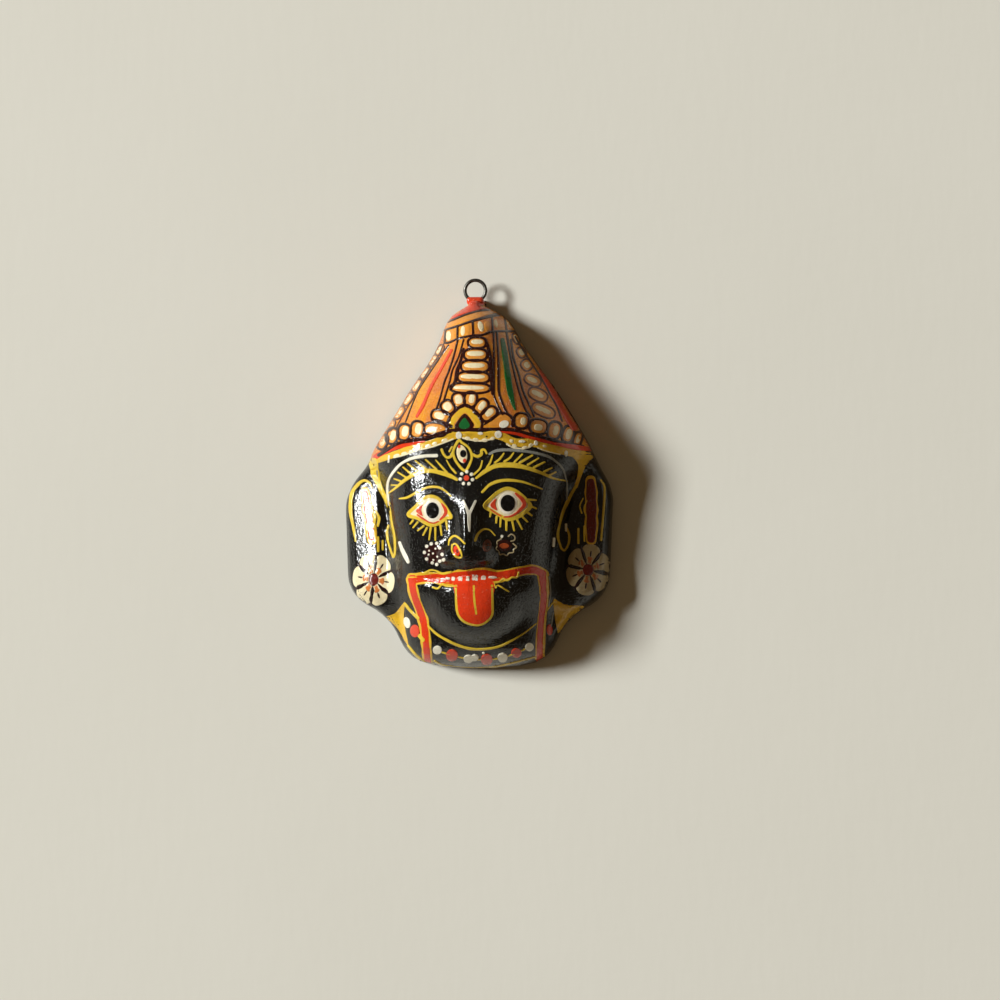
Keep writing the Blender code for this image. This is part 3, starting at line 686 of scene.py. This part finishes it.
def round_ends(line, halves):
    """The stroke carried on at both ends, and narrowing there to a round end."""
    for _ in range(2):
        line, halves = line[::-1], halves[::-1]
        ahead = line[-1] - line[-2]
        ahead = ahead / np.hypot(*ahead)
        half = halves[-1]
        outs = half * np.array(END_STEPS)
        line = np.vstack([line, line[-1] + outs[:, None] * ahead])
        halves = np.concatenate([halves, np.sqrt(half**2 - outs**2)])
    return line, halves


def oval_line(middle, radii, turn=0.0, fullness=1.0):
    """The outline of an oval in the picture, turned by some degrees. Under 1 it is fuller at its corners."""
    count = max(FEWEST_OVAL_SIDES, round(math.tau * max(radii) / OVAL_STEP))
    angle = np.arange(count) * math.tau / count
    turn = math.radians(turn)
    across = radii[0] * np.sign(np.cos(angle)) * np.abs(np.cos(angle)) ** fullness
    along = radii[1] * np.sign(np.sin(angle)) * np.abs(np.sin(angle)) ** fullness
    across = across[:, None] * np.array((math.cos(turn), math.sin(turn)))
    along = along[:, None] * np.array((math.sin(turn), -math.cos(turn)))
    return np.array(middle) + across + along


class Canvas:
    """The shell's outer skin, and the thick paint laid on it coat by coat, where the view shows each mark."""

    def __init__(self, piece):
        mesh = piece.data
        self.mesh = mesh
        self.points = np.empty(len(mesh.vertices) * 3)
        mesh.vertices.foreach_get("co", self.points)
        self.points = self.points.reshape(-1, 3)
        self.outside = outer_skin(mesh)
        self.picture = to_picture(self.points)
        faces = [tuple(face.vertices) for face in mesh.polygons if self.outside[face.vertices[0]]]
        self.tree = BVHTree.FromPolygons([Vector(point) for point in self.points], faces)
        self.coats = {coat: ([], []) for coat, _ in COATS}
        self.tops = {coat: FIRST_COAT + NEXT_COAT * i for i, (coat, _) in enumerate(COATS)}
        self.dice = np.random.default_rng(WOBBLE_SEED)

    def lift(self, spots):
        """The places on the skin that the view shows at these pixels, and the skin's direction there."""
        places, normals = np.full((2, len(spots), 3), np.nan)
        start = Vector(VIEW_PLACE)
        for i, ray in enumerate(rays_through(spots)):
            place, normal, _, _ = self.tree.ray_cast(start, Vector(ray))
            if place is not None and place.z > RIM_BAND:
                places[i], normals[i] = place, normal
        return places, normals

    def lay(self, coat, spots, gaps, faces):
        """Adds paint to a coat: its points in the picture, their distance from the edge, and the faces."""
        places, normals = self.lift(spots)
        rise = np.sqrt(1 - (1 - np.clip(gaps / FLANK, 0, 1)) ** 2) * (self.tops[coat] + SUNK) - SUNK
        points = places + normals * rise[:, None] / 1000
        corners = points[faces]
        sides = np.linalg.norm(corners - np.roll(corners, 1, axis=1), axis=2).max(axis=1) * 1000
        faces = faces[sides < LONGEST_SIDE]
        corners = points[faces]
        facing = np.cross(corners[:, 1] - corners[:, 0], corners[:, 2] - corners[:, 0])
        turned = (facing * normals[faces[:, 0]]).sum(axis=1) < 0
        faces[turned] = faces[turned][:, ::-1]
        used, numbers = np.unique(faces, return_inverse=True)
        all_points, all_faces = self.coats[coat]
        start = sum(map(len, all_points))
        all_points.append(points[used])
        all_faces.extend((numbers.reshape(faces.shape) + start).tolist())

    def stroke(self, coat, widths, points, closed=False):
        """A brush stroke through points of the picture. Its width in pixels may change along it."""
        widths = (widths, widths) if np.isscalar(widths) else widths
        line, widths = smooth_line(points, widths, closed)
        knots = np.arange(0, len(line) + WOBBLE_LENGTH, WOBBLE_LENGTH)
        uneven = np.interp(np.arange(len(line)), knots, self.dice.normal(0, WOBBLE, len(knots)))
        halves = np.maximum(widths / 2, THINNEST_HALF) * (1 + uneven)
        if not closed:
            line, halves = round_ends(line, halves)
        ahead = np.gradient(line, axis=0)
        if closed:
            ahead[0] = ahead[-1] = line[1] - line[-2]
            halves[-1] = halves[0]
        ahead /= np.maximum(np.linalg.norm(ahead, axis=1), 1e-9)[:, None]
        beside = np.stack([-ahead[:, 1], ahead[:, 0]], axis=1)
        shares = shares_across(halves.max())
        spots = line[:, None] + beside[:, None] * halves[:, None, None] * shares[:, None]
        gaps = halves[:, None] * (1 - np.abs(shares)) * PIXEL * 1000
        if not closed:
            gaps[0] = gaps[-1] = 0
        count = len(shares)
        corner = (np.arange(len(line) - 1)[:, None] * count + np.arange(count - 1)).ravel()
        faces = np.stack([corner, corner + 1, corner + count + 1, corner + count], axis=1)
        self.lay(coat, spots.reshape(-1, 2), gaps.ravel(), faces)

    def area(self, coat, outline, smooth=True):
        """A filled shape, from its outline in the picture."""
        line = smooth_line(outline, closed=True)[0][:-1] if smooth else np.array(outline, float)
        flank = FLANK / (PIXEL * 1000)
        after = np.roll(line, -1, axis=0)
        if (line[:, 0] * after[:, 1] - line[:, 1] * after[:, 0]).sum() < 0:
            line = line[::-1]
            after = np.roll(line, -1, axis=0)
        ahead = after - np.roll(line, 1, axis=0)
        ahead /= np.maximum(np.linalg.norm(ahead, axis=1), 1e-9)[:, None]
        inner = line + flank * np.stack([-ahead[:, 1], ahead[:, 0]], axis=1)
        low, high = line.min(0), line.max(0)
        grid = np.meshgrid(np.arange(low[0], high[0], SPACING), np.arange(low[1], high[1], SPACING))
        grid = np.stack(grid, axis=-1).reshape(-1, 2)
        grid = grid[inside_depth(grid, line) > EDGE_CLEARANCE]
        spots = np.vstack([line, inner, grid])
        gaps = np.concatenate([np.zeros(len(line)), np.full(len(inner) + len(grid), FLANK)])
        loop = [list(range(len(line)))]
        found = delaunay_2d_cdt([Vector(spot) for spot in spots], [], loop, INSIDE_ONLY, SAME_PLACE, True)
        places = np.array([tuple(spot) for spot in found[0]])
        gaps = np.array([gaps[ids[0]] if ids else 0.0 for ids in found[3]])
        faces = np.array([face for face in found[2] if len(face) == 3])
        self.lay(coat, places, gaps, faces)

    def oval(self, coat, middle, radii, turn=0, fullness=1.0):
        """A filled oval."""
        self.area(coat, oval_line(middle, radii, turn, fullness), smooth=False)

    def save(self):
        """Keeps on the skin's points how far each is below the crown's line, and which are outside."""
        line_x, line_y = np.array(CROWN_LINE, float).T
        below = (self.picture[:, 1] - np.interp(self.picture[:, 0], line_x, line_y)) * PIXEL * 1000
        below = np.where(self.outside, np.clip(below, -FIELD_REACH, FIELD_REACH), FIELD_REACH)
        for name, values in (("below_crown_line", below), ("outer_skin", self.outside)):
            attribute = self.mesh.attributes.new(name, "FLOAT", "POINT")
            attribute.data.foreach_set("value", values.astype(np.float32))

    def painted_pieces(self):
        """One thin piece for each coat."""
        pieces = []
        for coat, code in COATS:
            points, faces = self.coats[coat]
            if not faces:
                continue
            mesh = bpy.data.meshes.new(coat + "_brushwork")
            mesh.from_pydata(np.concatenate(points).tolist(), [], faces)
            piece = bpy.data.objects.new(coat + "_brushwork", mesh)
            bpy.context.scene.collection.objects.link(piece)
            make_active(piece)
            bpy.ops.object.mode_set(mode="EDIT")
            bpy.ops.mesh.select_all(action="SELECT")
            bpy.ops.mesh.remove_doubles(threshold=MERGE)
            bpy.ops.object.mode_set(mode="OBJECT")
            bpy.ops.object.shade_smooth_by_angle(angle=PAINT_EDGE_ANGLE)
            pieces.append((piece, coat, code))
        return pieces


def inside_depth(places, line):
    """How deep places of the picture lie inside a closed outline, and less than 0 outside it."""
    gap = np.full(len(places), np.inf)
    inside = np.zeros(len(places), bool)
    for a, b in zip(line, np.roll(line, -1, axis=0)):
        run = b - a
        share = np.clip((places - a) @ run / max(run @ run, 1e-12), 0, 1)
        gap = np.minimum(gap, np.linalg.norm(places - a - share[:, None] * run, axis=1))
        crosses = (a[1] > places[:, 1]) != (b[1] > places[:, 1])
        slope = (places[:, 1] - a[1]) / (run[1] if run[1] else 1e-12)
        inside ^= crosses & (places[:, 0] < a[0] + slope * run[0])
    return np.where(inside, gap, -gap)


def to_picture(points):
    """The pixels at which the view shows these points."""
    offsets = points - VIEW_PLACE
    depth = -(offsets @ TO_VIEW)
    scale = VIEW_DISTANCE / (PIXEL * depth)
    x = PICTURE / 2 + (offsets @ ACROSS_VIEW) * scale
    y = PICTURE / 2 - (offsets @ UP_VIEW) * scale
    return np.stack([x, y], axis=1)


def rays_through(spots):
    """The directions in which the view looks at these pixels."""
    spots = np.asarray(spots, float)
    side = (spots[:, :1] - PICTURE / 2) * PIXEL / VIEW_DISTANCE
    rise = (PICTURE / 2 - spots[:, 1:]) * PIXEL / VIEW_DISTANCE
    rays = side * ACROSS_VIEW + rise * UP_VIEW - TO_VIEW
    return rays / np.linalg.norm(rays, axis=1)[:, None]


def outer_skin(mesh):
    """Which vertices are of the outer skin: those reached from the top without crossing the rim."""
    bm = bmesh.new()
    bm.from_mesh(mesh)
    bm.verts.ensure_lookup_table()
    top = max(bm.verts, key=lambda v: v.co.z)
    found, front = {top.index}, [top]
    while front:
        vertex = front.pop()
        if vertex.co.z < RIM_BAND:
            continue
        for edge in vertex.link_edges:
            other = edge.other_vert(vertex)
            if other.index not in found:
                found.add(other.index)
                front.append(other)
    outside = np.zeros(len(bm.verts), bool)
    outside[list(found)] = True
    bm.free()
    return outside


def fine_copy(node, name, levels):
    """A fine, smooth copy of a CAD solid, with the edges of its flat back kept sharp."""
    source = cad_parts[node]
    piece = source.copy()
    piece.data = source.data.copy()
    piece.name = piece.data.name = name
    for key in list(piece.keys()):
        del piece[key]
    piece.parent = None
    bpy.context.scene.collection.objects.link(piece)
    make_active(piece)
    bpy.ops.object.mode_set(mode="EDIT")
    bpy.ops.mesh.select_all(action="SELECT")
    bpy.ops.mesh.remove_doubles(threshold=MERGE)
    bpy.ops.mesh.tris_convert_to_quads(
        face_threshold=math.pi, shape_threshold=math.pi, topology_influence=TOPOLOGY_INFLUENCE
    )
    bpy.ops.object.mode_set(mode="OBJECT")
    for edge in piece.data.edges:
        ends = [piece.data.vertices[i].co.z for i in edge.vertices]
        edge.select = max(ends) < RIM_BAND
    bpy.ops.object.mode_set(mode="EDIT")
    bpy.context.tool_settings.mesh_select_mode = (False, True, False)
    bpy.ops.transform.edge_crease(value=1.0)
    bpy.context.tool_settings.mesh_select_mode = (False, False, True)
    bpy.ops.object.mode_set(mode="OBJECT")
    modifier = piece.modifiers.new("smooth", "SUBSURF")
    modifier.levels = modifier.render_levels = levels
    bpy.ops.object.modifier_apply(modifier="smooth")
    return piece


def make_uneven(piece):
    """Moves the skin a little in and out, as paper layers laid by hand do, and leaves the rim where it is."""
    mesh = piece.data
    points, normals = np.empty((2, len(mesh.vertices) * 3))
    mesh.vertices.foreach_get("co", points)
    mesh.vertices.foreach_get("normal", normals)
    points, normals = points.reshape(-1, 3), normals.reshape(-1, 3)
    fade = np.clip(points[:, 2] / LUMP_FADE, 0, 1) * outer_skin(mesh)
    for size, height in LUMPS:
        waves = np.array([smooth_noise(Vector(point / size)) for point in points])
        points = points + normals * (waves * fade * height)[:, None]
    mesh.vertices.foreach_set("co", points.ravel())
    mesh.update()


def paint_beads(canvas, beads, coat, width):
    """Amber beads with a cream core, drawn round with a line."""
    for middle, radii, turn, shift, share in beads:
        middle, radii = np.array(middle), np.array(radii)
        core = radii * np.array(share) * CORE_SIZE
        canvas.oval("amber", middle, radii, turn, FULLNESS)
        canvas.oval("cream", middle + shift * radii, core, turn, FULLNESS)
        outline = oval_line(middle, radii + width * LINE_OUTSIDE, turn, FULLNESS)
        canvas.stroke(coat, width, outline, closed=True)


def spoke(radii, angle):
    """The way from a rosette's middle to its edge."""
    return np.array((radii[0] * math.cos(angle), radii[1] * math.sin(angle)))


def petal_line(middle, radii, angle, half, inner, outer):
    """The outline of a rosette's petal between two shares of its radii, rounded at its outer corners."""
    corner, bow = PETAL_ROUNDING
    across = np.linspace(-1, 1, PETAL_POINTS)
    edge = outer * (1 - corner * np.abs(across) ** 4 - bow * across**2)
    foot = inner + 0 * across
    turns = angle + half * across
    shares = np.concatenate([edge, foot[::-1]])
    turns = np.concatenate([turns, turns[::-1]])
    ways = np.stack([radii[0] * np.cos(turns), radii[1] * np.sin(turns)], axis=1)
    return np.array(middle) + shares[:, None] * ways


def paint_rosettes(canvas):
    """Petals round a dark middle, warmer at the foot, each with a dark dash, and dark lines between them."""
    for coat, foot_coat, middle, radii, count, turn in ROSETTES:
        middle = np.array(middle)
        half = math.pi / count - PETAL_GAP
        for i in range(count):
            angle = math.radians(turn) + math.tau * i / count
            petal = petal_line(middle, radii, angle, half, *PETAL)
            foot = petal_line(middle, radii, angle, half * FOOT_WIDTH, *PETAL_FOOT)
            canvas.area(coat, petal, smooth=False)
            canvas.area(foot_coat, foot, smooth=False)
            along, beside = spoke(radii, angle), spoke(radii, angle + math.pi / count)
            canvas.stroke("brown", DASH_WIDTHS, [middle + share * along for share in PETAL_DASH])
            canvas.stroke("brown", DIVIDE_WIDTHS, [middle + share * beside for share in PETAL_DIVIDE])
        canvas.oval("maroon", middle, (radii[0] * HEART[0], radii[1] * HEART[1]))


def paint_eyes(canvas):
    """Pale eyes drawn round in yellow, with a white rim round the pupil, and the line of the third eye."""
    for outline, pupil, radii in EYES:
        canvas.area("cream", outline)
        canvas.stroke("yellow", EYE_LINE, outline, closed=True)
        canvas.oval("black", pupil, radii)
        canvas.oval("milk", pupil, (radii[0] + PUPIL_RIM[0], radii[1] + PUPIL_RIM[1]))
    canvas.stroke("yellow", THIRD_EYE_LINE, THIRD_EYE, closed=True)


def paint_dots(canvas):
    """The white dots of the left cheek, and those of the flower between the brows."""
    for middle in CHEEK_DOTS:
        canvas.oval("white", middle, DOT)
    for middle in CHEEK_CRUMBS:
        canvas.oval("white", middle, CRUMB)
    for i in range(FLOWER_PETALS):
        angle = math.tau * (i + FLOWER_TURN) / FLOWER_PETALS
        middle = (FLOWER[0] + FLOWER_RADIUS * math.cos(angle), FLOWER[1] + FLOWER_RADIUS * math.sin(angle))
        canvas.oval("white", middle, DOT)


def paint_shell(piece):
    """All brushwork of the mask, as one piece for each coat."""
    canvas = Canvas(piece)
    canvas.stroke("brown", CROWN_LINE_WIDTH, CROWN_LINE[1:-1])
    for coat, outline in AREAS:
        canvas.area(coat, outline)
    for strokes in STROKES:
        for coat, widths, points in strokes:
            canvas.stroke(coat, widths, points)
    for points in BROW_HAIRS:
        canvas.stroke("yellow", HAIR_WIDTHS, points)
    for points in LASHES:
        canvas.stroke("yellow", LASH_WIDTHS, points)
    paint_eyes(canvas)
    paint_beads(canvas, BEADS, "brown", BEAD_LINE)
    paint_beads(canvas, SIDE_BEADS, "rust", SIDE_LINE)
    paint_rosettes(canvas)
    canvas.area("crimson", TONGUE)
    canvas.stroke("yellow", TONGUE_EDGE, TONGUE_LINE)
    for coat, middle, radii, turn in SPOTS:
        canvas.oval(coat, middle, radii, turn)
    for middle, radii in TEETH:
        canvas.oval("white", middle, radii, TOOTH_TURN, TOOTH_FULLNESS)
    paint_dots(canvas)
    canvas.save()
    return canvas.painted_pieces()


class Nodes:
    """Short calls for building a shader or a group of nodes."""

    def __init__(self, tree):
        self.tree = tree
        self.count = 0

    def put(self, node, name, value):
        """Links another node's result to an input, or sets the input to a value."""
        if isinstance(value, bpy.types.NodeSocket):
            self.tree.links.new(value, node.inputs[name])
        else:
            node.inputs[name].default_value = value

    def add(self, kind, values=None, **settings):
        node = self.tree.nodes.new(kind)
        self.count += 1
        row, column = divmod(self.count, NODES_IN_A_ROW)
        node.location = (column * NODE_SPACING[0], -row * NODE_SPACING[1])
        for name, value in settings.items():
            setattr(node, name, value)
        for name, value in (values or {}).items():
            self.put(node, name, value)
        return node

    def math(self, operation, a, b):
        return self.add("ShaderNodeMath", {0: a, 1: b}, operation=operation).outputs[0]

    def remap(self, value, start, end, low, high, smooth=False):
        kind = "SMOOTHSTEP" if smooth else "LINEAR"
        inputs = {"Value": value, "From Min": start, "From Max": end, "To Min": low, "To Max": high}
        return self.add("ShaderNodeMapRange", inputs, interpolation_type=kind).outputs["Result"]

    def blend(self, share, first, second):
        return self.add("ShaderNodeMix", {0: share, 6: first, 7: second}, data_type="RGBA").outputs[2]

    def noise(self, place, scale, detail=2.0, roughness=0.5, stretch=None):
        if stretch:
            place = self.add("ShaderNodeMapping", {"Vector": place, "Scale": stretch}).outputs[0]
        inputs = {"Vector": place, "Scale": scale, "Detail": detail, "Roughness": roughness}
        return self.add("ShaderNodeTexNoise", inputs).outputs["Fac"]

    def bump(self, height, distance, strength=1.0):
        inputs = {"Height": height, "Strength": strength, "Distance": distance}
        return self.add("ShaderNodeBump", inputs).outputs[0]

    def place(self):
        return self.add("ShaderNodeTexCoord").outputs["Object"]

    def attribute(self, name):
        return self.add("ShaderNodeAttribute", attribute_name=name).outputs["Fac"]

    def group(self, tree, values):
        return self.add("ShaderNodeGroup", values, node_tree=tree)


def new_group(name, inputs, outputs):
    """An empty group of nodes, with its inputs and results, each a float or a colour."""
    tree = bpy.data.node_groups.new(name, "ShaderNodeTree")
    for side, sockets in (("INPUT", inputs), ("OUTPUT", outputs)):
        for label, kind in sockets.items():
            tree.interface.new_socket(label, in_out=side, socket_type="NodeSocket" + kind)
    nodes = Nodes(tree)
    return nodes, nodes.add("NodeGroupInput"), nodes.add("NodeGroupOutput")


def new_material(name):
    material = bpy.data.materials.new(name)
    material.use_nodes = True
    shader = material.node_tree.nodes["Principled BSDF"]
    return material, Nodes(material.node_tree), shader


def uneven_paint_group():
    """Thick and thin paint: the colour a little lighter and darker from place to place."""
    inputs = {"Colour": "Color", "Amount": "Float"}
    nodes, given, result = new_group("uneven_paint", inputs, {"Colour": "Color"})
    place = nodes.place()
    broad = nodes.math("MULTIPLY", nodes.noise(place, *PAINT_BROAD), PAINT_SHARES[0])
    fine = nodes.math("MULTIPLY", nodes.noise(place, *PAINT_FINE), PAINT_SHARES[1])
    change = nodes.math("SUBTRACT", nodes.math("ADD", broad, fine), 0.5)
    value = nodes.math("ADD", nodes.math("MULTIPLY", change, given.outputs["Amount"]), 1.0)
    shade = nodes.add("ShaderNodeHueSaturation", {"Value": value, "Color": given.outputs["Colour"]})
    nodes.put(result, "Colour", shade.outputs[0])
    return nodes.tree


def varnish_group():
    """Brushed varnish: a roughness and a height with fine ridges and specks of dust caught in it."""
    nodes, given, result = new_group("varnish", {"Gloss": "Float"}, {"Roughness": "Float", "Height": "Float"})
    place = nodes.place()
    broad = nodes.noise(place, *VARNISH_BROAD)
    fine = nodes.noise(place, *VARNISH_FINE)
    specks = nodes.remap(nodes.noise(place, *SPECKS), *SPECK_EDGE, 0.0, 1.0, smooth=True)
    height = nodes.math("MULTIPLY", broad, BROAD_HEIGHT)
    height = nodes.math("ADD", height, nodes.math("MULTIPLY", fine, FINE_HEIGHT))
    height = nodes.math("ADD", height, nodes.math("MULTIPLY", specks, SPECK_HEIGHT))
    rough = nodes.math("ADD", given.outputs["Gloss"], nodes.remap(fine, *ROUGHNESS_CHANGE))
    nodes.put(result, "Roughness", rough)
    nodes.put(result, "Height", height)
    return nodes.tree


def finish_paint(nodes, shader, colour, rough, height, finish):
    """Gives a shader its paint's colour and its varnish's roughness, ridges and shine."""
    nodes.put(shader, "Base Color", colour)
    nodes.put(shader, "Roughness", rough)
    ridges, ior = finish
    nodes.put(shader, "Normal", nodes.bump(height, ridges))
    nodes.put(shader, "IOR", ior)


def shell_material(uneven_paint, varnish):
    """Black paint with the crown's orange ground above its line, and raw pulp inside."""
    material, nodes, shader = new_material("varnished_ground")
    place = nodes.place()
    crown = nodes.remap(nodes.attribute("below_crown_line"), *CROWN_EDGE, 1.0, 0.0)
    ground = nodes.blend(nodes.noise(place, *DUST), linear(GROUND), linear(GROUND_DUSTY))
    patches = nodes.remap(nodes.noise(place, *PATCHES), *PATCH_EDGE, 0.0, 1.0)
    orange = nodes.blend(patches, linear(CROWN_LOW), linear(CROWN_HIGH))
    rise = nodes.add("ShaderNodeSeparateXYZ", {"Vector": place}).outputs["Z"]
    orange = nodes.blend(nodes.remap(rise, *RIM_HEIGHTS, 0.0, 1.0), linear(RIM_DARK), orange)
    colour = nodes.blend(crown, ground, orange)
    colour = nodes.group(uneven_paint, {"Colour": colour, "Amount": GROUND_CHANGE}).outputs[0]
    outer = nodes.remap(nodes.attribute("outer_skin"), *SKIN_EDGE, 0.0, 1.0)
    pulp = nodes.blend(nodes.noise(place, *PULP), linear(PULP_DARK), linear(PULP_PALE))
    colour = nodes.blend(outer, pulp, colour)
    coat = nodes.group(varnish, {"Gloss": GROUND_ROUGHNESS})
    rough = nodes.math("ADD", coat.outputs["Roughness"], nodes.math("MULTIPLY", crown, CROWN_DULLER))
    rough = nodes.math("MAXIMUM", rough, nodes.remap(outer, 0.0, 1.0, PULP_ROUGHNESS, 0.0))
    finish_paint(nodes, shader, colour, rough, coat.outputs["Height"], GROUND_FINISH)
    return material


def brush_material(name, code, uneven_paint, varnish):
    """The varnished paint of one coat."""
    material, nodes, shader = new_material(name + "_paint")
    colour = nodes.group(uneven_paint, {"Colour": linear(code), "Amount": BRUSH_CHANGE}).outputs[0]
    coat = nodes.group(varnish, {"Gloss": BRUSH_ROUGHNESS})
    finish_paint(nodes, shader, colour, coat.outputs["Roughness"], coat.outputs["Height"], BRUSH_FINISH)
    return material


def wire_material():
    """Steel wire, tarnished in places and scratched along."""
    material, nodes, shader = new_material("worn_steel_wire")
    place = nodes.place()
    tarnish = nodes.remap(nodes.noise(place, *TARNISH), *TARNISH_EDGE, 0.0, 1.0, smooth=True)
    nodes.put(shader, "Base Color", nodes.blend(tarnish, STEEL, TARNISHED))
    nodes.put(shader, "Roughness", nodes.remap(tarnish, 0.0, 1.0, *STEEL_ROUGHNESS))
    nodes.put(shader, "Metallic", 1.0)
    nodes.put(shader, "Normal", nodes.bump(nodes.noise(place, *SCRATCHES), SCRATCH_DEPTH, SCRATCH_STRENGTH))
    return material


def wire_eye():
    piece = fine_copy("hanging_loop", "wire_eye", WIRE_LEVELS)
    bpy.ops.object.shade_smooth()
    piece.data.materials.clear()
    piece.data.materials.append(wire_material())
    return piece


def paint_collar(material):
    """Paint dried round the wire where it stands in the neck."""
    deselect()
    bpy.ops.mesh.primitive_cube_add(size=1.0, location=COLLAR_PLACE)
    collar = bpy.context.object
    collar.name = collar.data.name = "paint_collar"
    collar.scale = COLLAR_SIZE
    bpy.ops.object.transform_apply(location=True, rotation=False, scale=True)
    modifier = collar.modifiers.new("round", "BEVEL")
    modifier.width = COLLAR_ROUND
    modifier.segments = COLLAR_SEGMENTS
    bpy.ops.object.modifier_apply(modifier="round")
    bpy.ops.object.shade_smooth()
    collar.data.materials.append(material)
    return collar


def floor_material():
    """Pale painted board with a fine woven grain."""
    material, nodes, shader = new_material("pale_floor")
    place = nodes.place()
    mottle = nodes.noise(place, *FLOOR_MOTTLE)
    nodes.put(shader, "Base Color", nodes.blend(mottle, linear(FLOOR_DARK), linear(FLOOR_PALE)))
    nodes.put(shader, "Roughness", FLOOR_ROUGHNESS)
    along, across = (nodes.noise(place, *threads) for threads in FLOOR_THREADS)
    threads = nodes.math("MULTIPLY", nodes.math("ADD", along, across), THREAD_SHARE)
    grain = nodes.math("ADD", threads, nodes.noise(place, *FLOOR_GRAIN))
    nodes.put(shader, "Normal", nodes.bump(grain, FLOOR_DEPTH, FLOOR_STRENGTH))
    return material


def pale_floor():
    deselect()
    bpy.ops.mesh.primitive_plane_add(size=FLOOR_SIZE, location=(0, 0, 0))
    floor = bpy.context.object
    floor.name = floor.data.name = "pale_floor"
    floor.data.materials.append(floor_material())


def window_light():
    """The light of a window on the left, facing the mask."""
    flat = math.cos(WINDOW_ELEVATION)
    direction = Vector((
        math.cos(WINDOW_AZIMUTH) * flat, math.sin(WINDOW_AZIMUTH) * flat, math.sin(WINDOW_ELEVATION)
    ))
    bpy.ops.object.light_add(type="AREA", location=direction * WINDOW_DISTANCE)
    light = bpy.context.object
    light.name = light.data.name = "window"
    light.rotation_euler = direction.to_track_quat("Z", "Y").to_euler()
    light.data.shape = "RECTANGLE"
    light.data.size, light.data.size_y = WINDOW_SIZE
    light.data.energy = WINDOW_POWER
    light.data.color = WINDOW_COLOUR


def room_light():
    """The dim warm light of the room all round."""
    world = bpy.data.worlds.new("room")
    world.use_nodes = True
    background = world.node_tree.nodes["Background"]
    background.inputs["Color"].default_value = ROOM_COLOUR
    background.inputs["Strength"].default_value = ROOM_STRENGTH
    bpy.context.scene.world = world


def view():
    """The camera, which looks down on the face."""
    bpy.context.scene.view_settings.view_transform = "Standard"
    bpy.ops.object.camera_add(location=VIEW_PLACE, rotation=(0.0, VIEW_LEAN, 0.0))
    camera = bpy.context.object
    camera.name = "view"
    camera.data.sensor_width = SENSOR_WIDTH
    camera.data.angle = 2 * math.atan(PICTURE * PIXEL / 2 / VIEW_DISTANCE)
    camera.data.clip_start = NEAREST_SEEN
    bpy.context.scene.camera = camera


def main():
    shell = fine_copy("mask_shell", "painted_shell", SHELL_LEVELS)
    make_uneven(shell)
    bpy.ops.object.shade_smooth_by_angle(angle=SHELL_EDGE_ANGLE)
    uneven_paint, varnish = uneven_paint_group(), varnish_group()
    shell.data.materials.clear()
    shell.data.materials.append(shell_material(uneven_paint, varnish))
    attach(shell, "root")
    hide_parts("mask_shell")
    for piece, coat, code in paint_shell(shell):
        piece.data.materials.append(brush_material(coat, code, uneven_paint, varnish))
        if coat == "scarlet":
            collar = paint_collar(piece.data.materials[0])
            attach(collar, "root")
        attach(piece, "root")
    wire = wire_eye()
    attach(wire, "root")
    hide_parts("hanging_loop")
    pale_floor()
    window_light()
    room_light()
    view()


main()
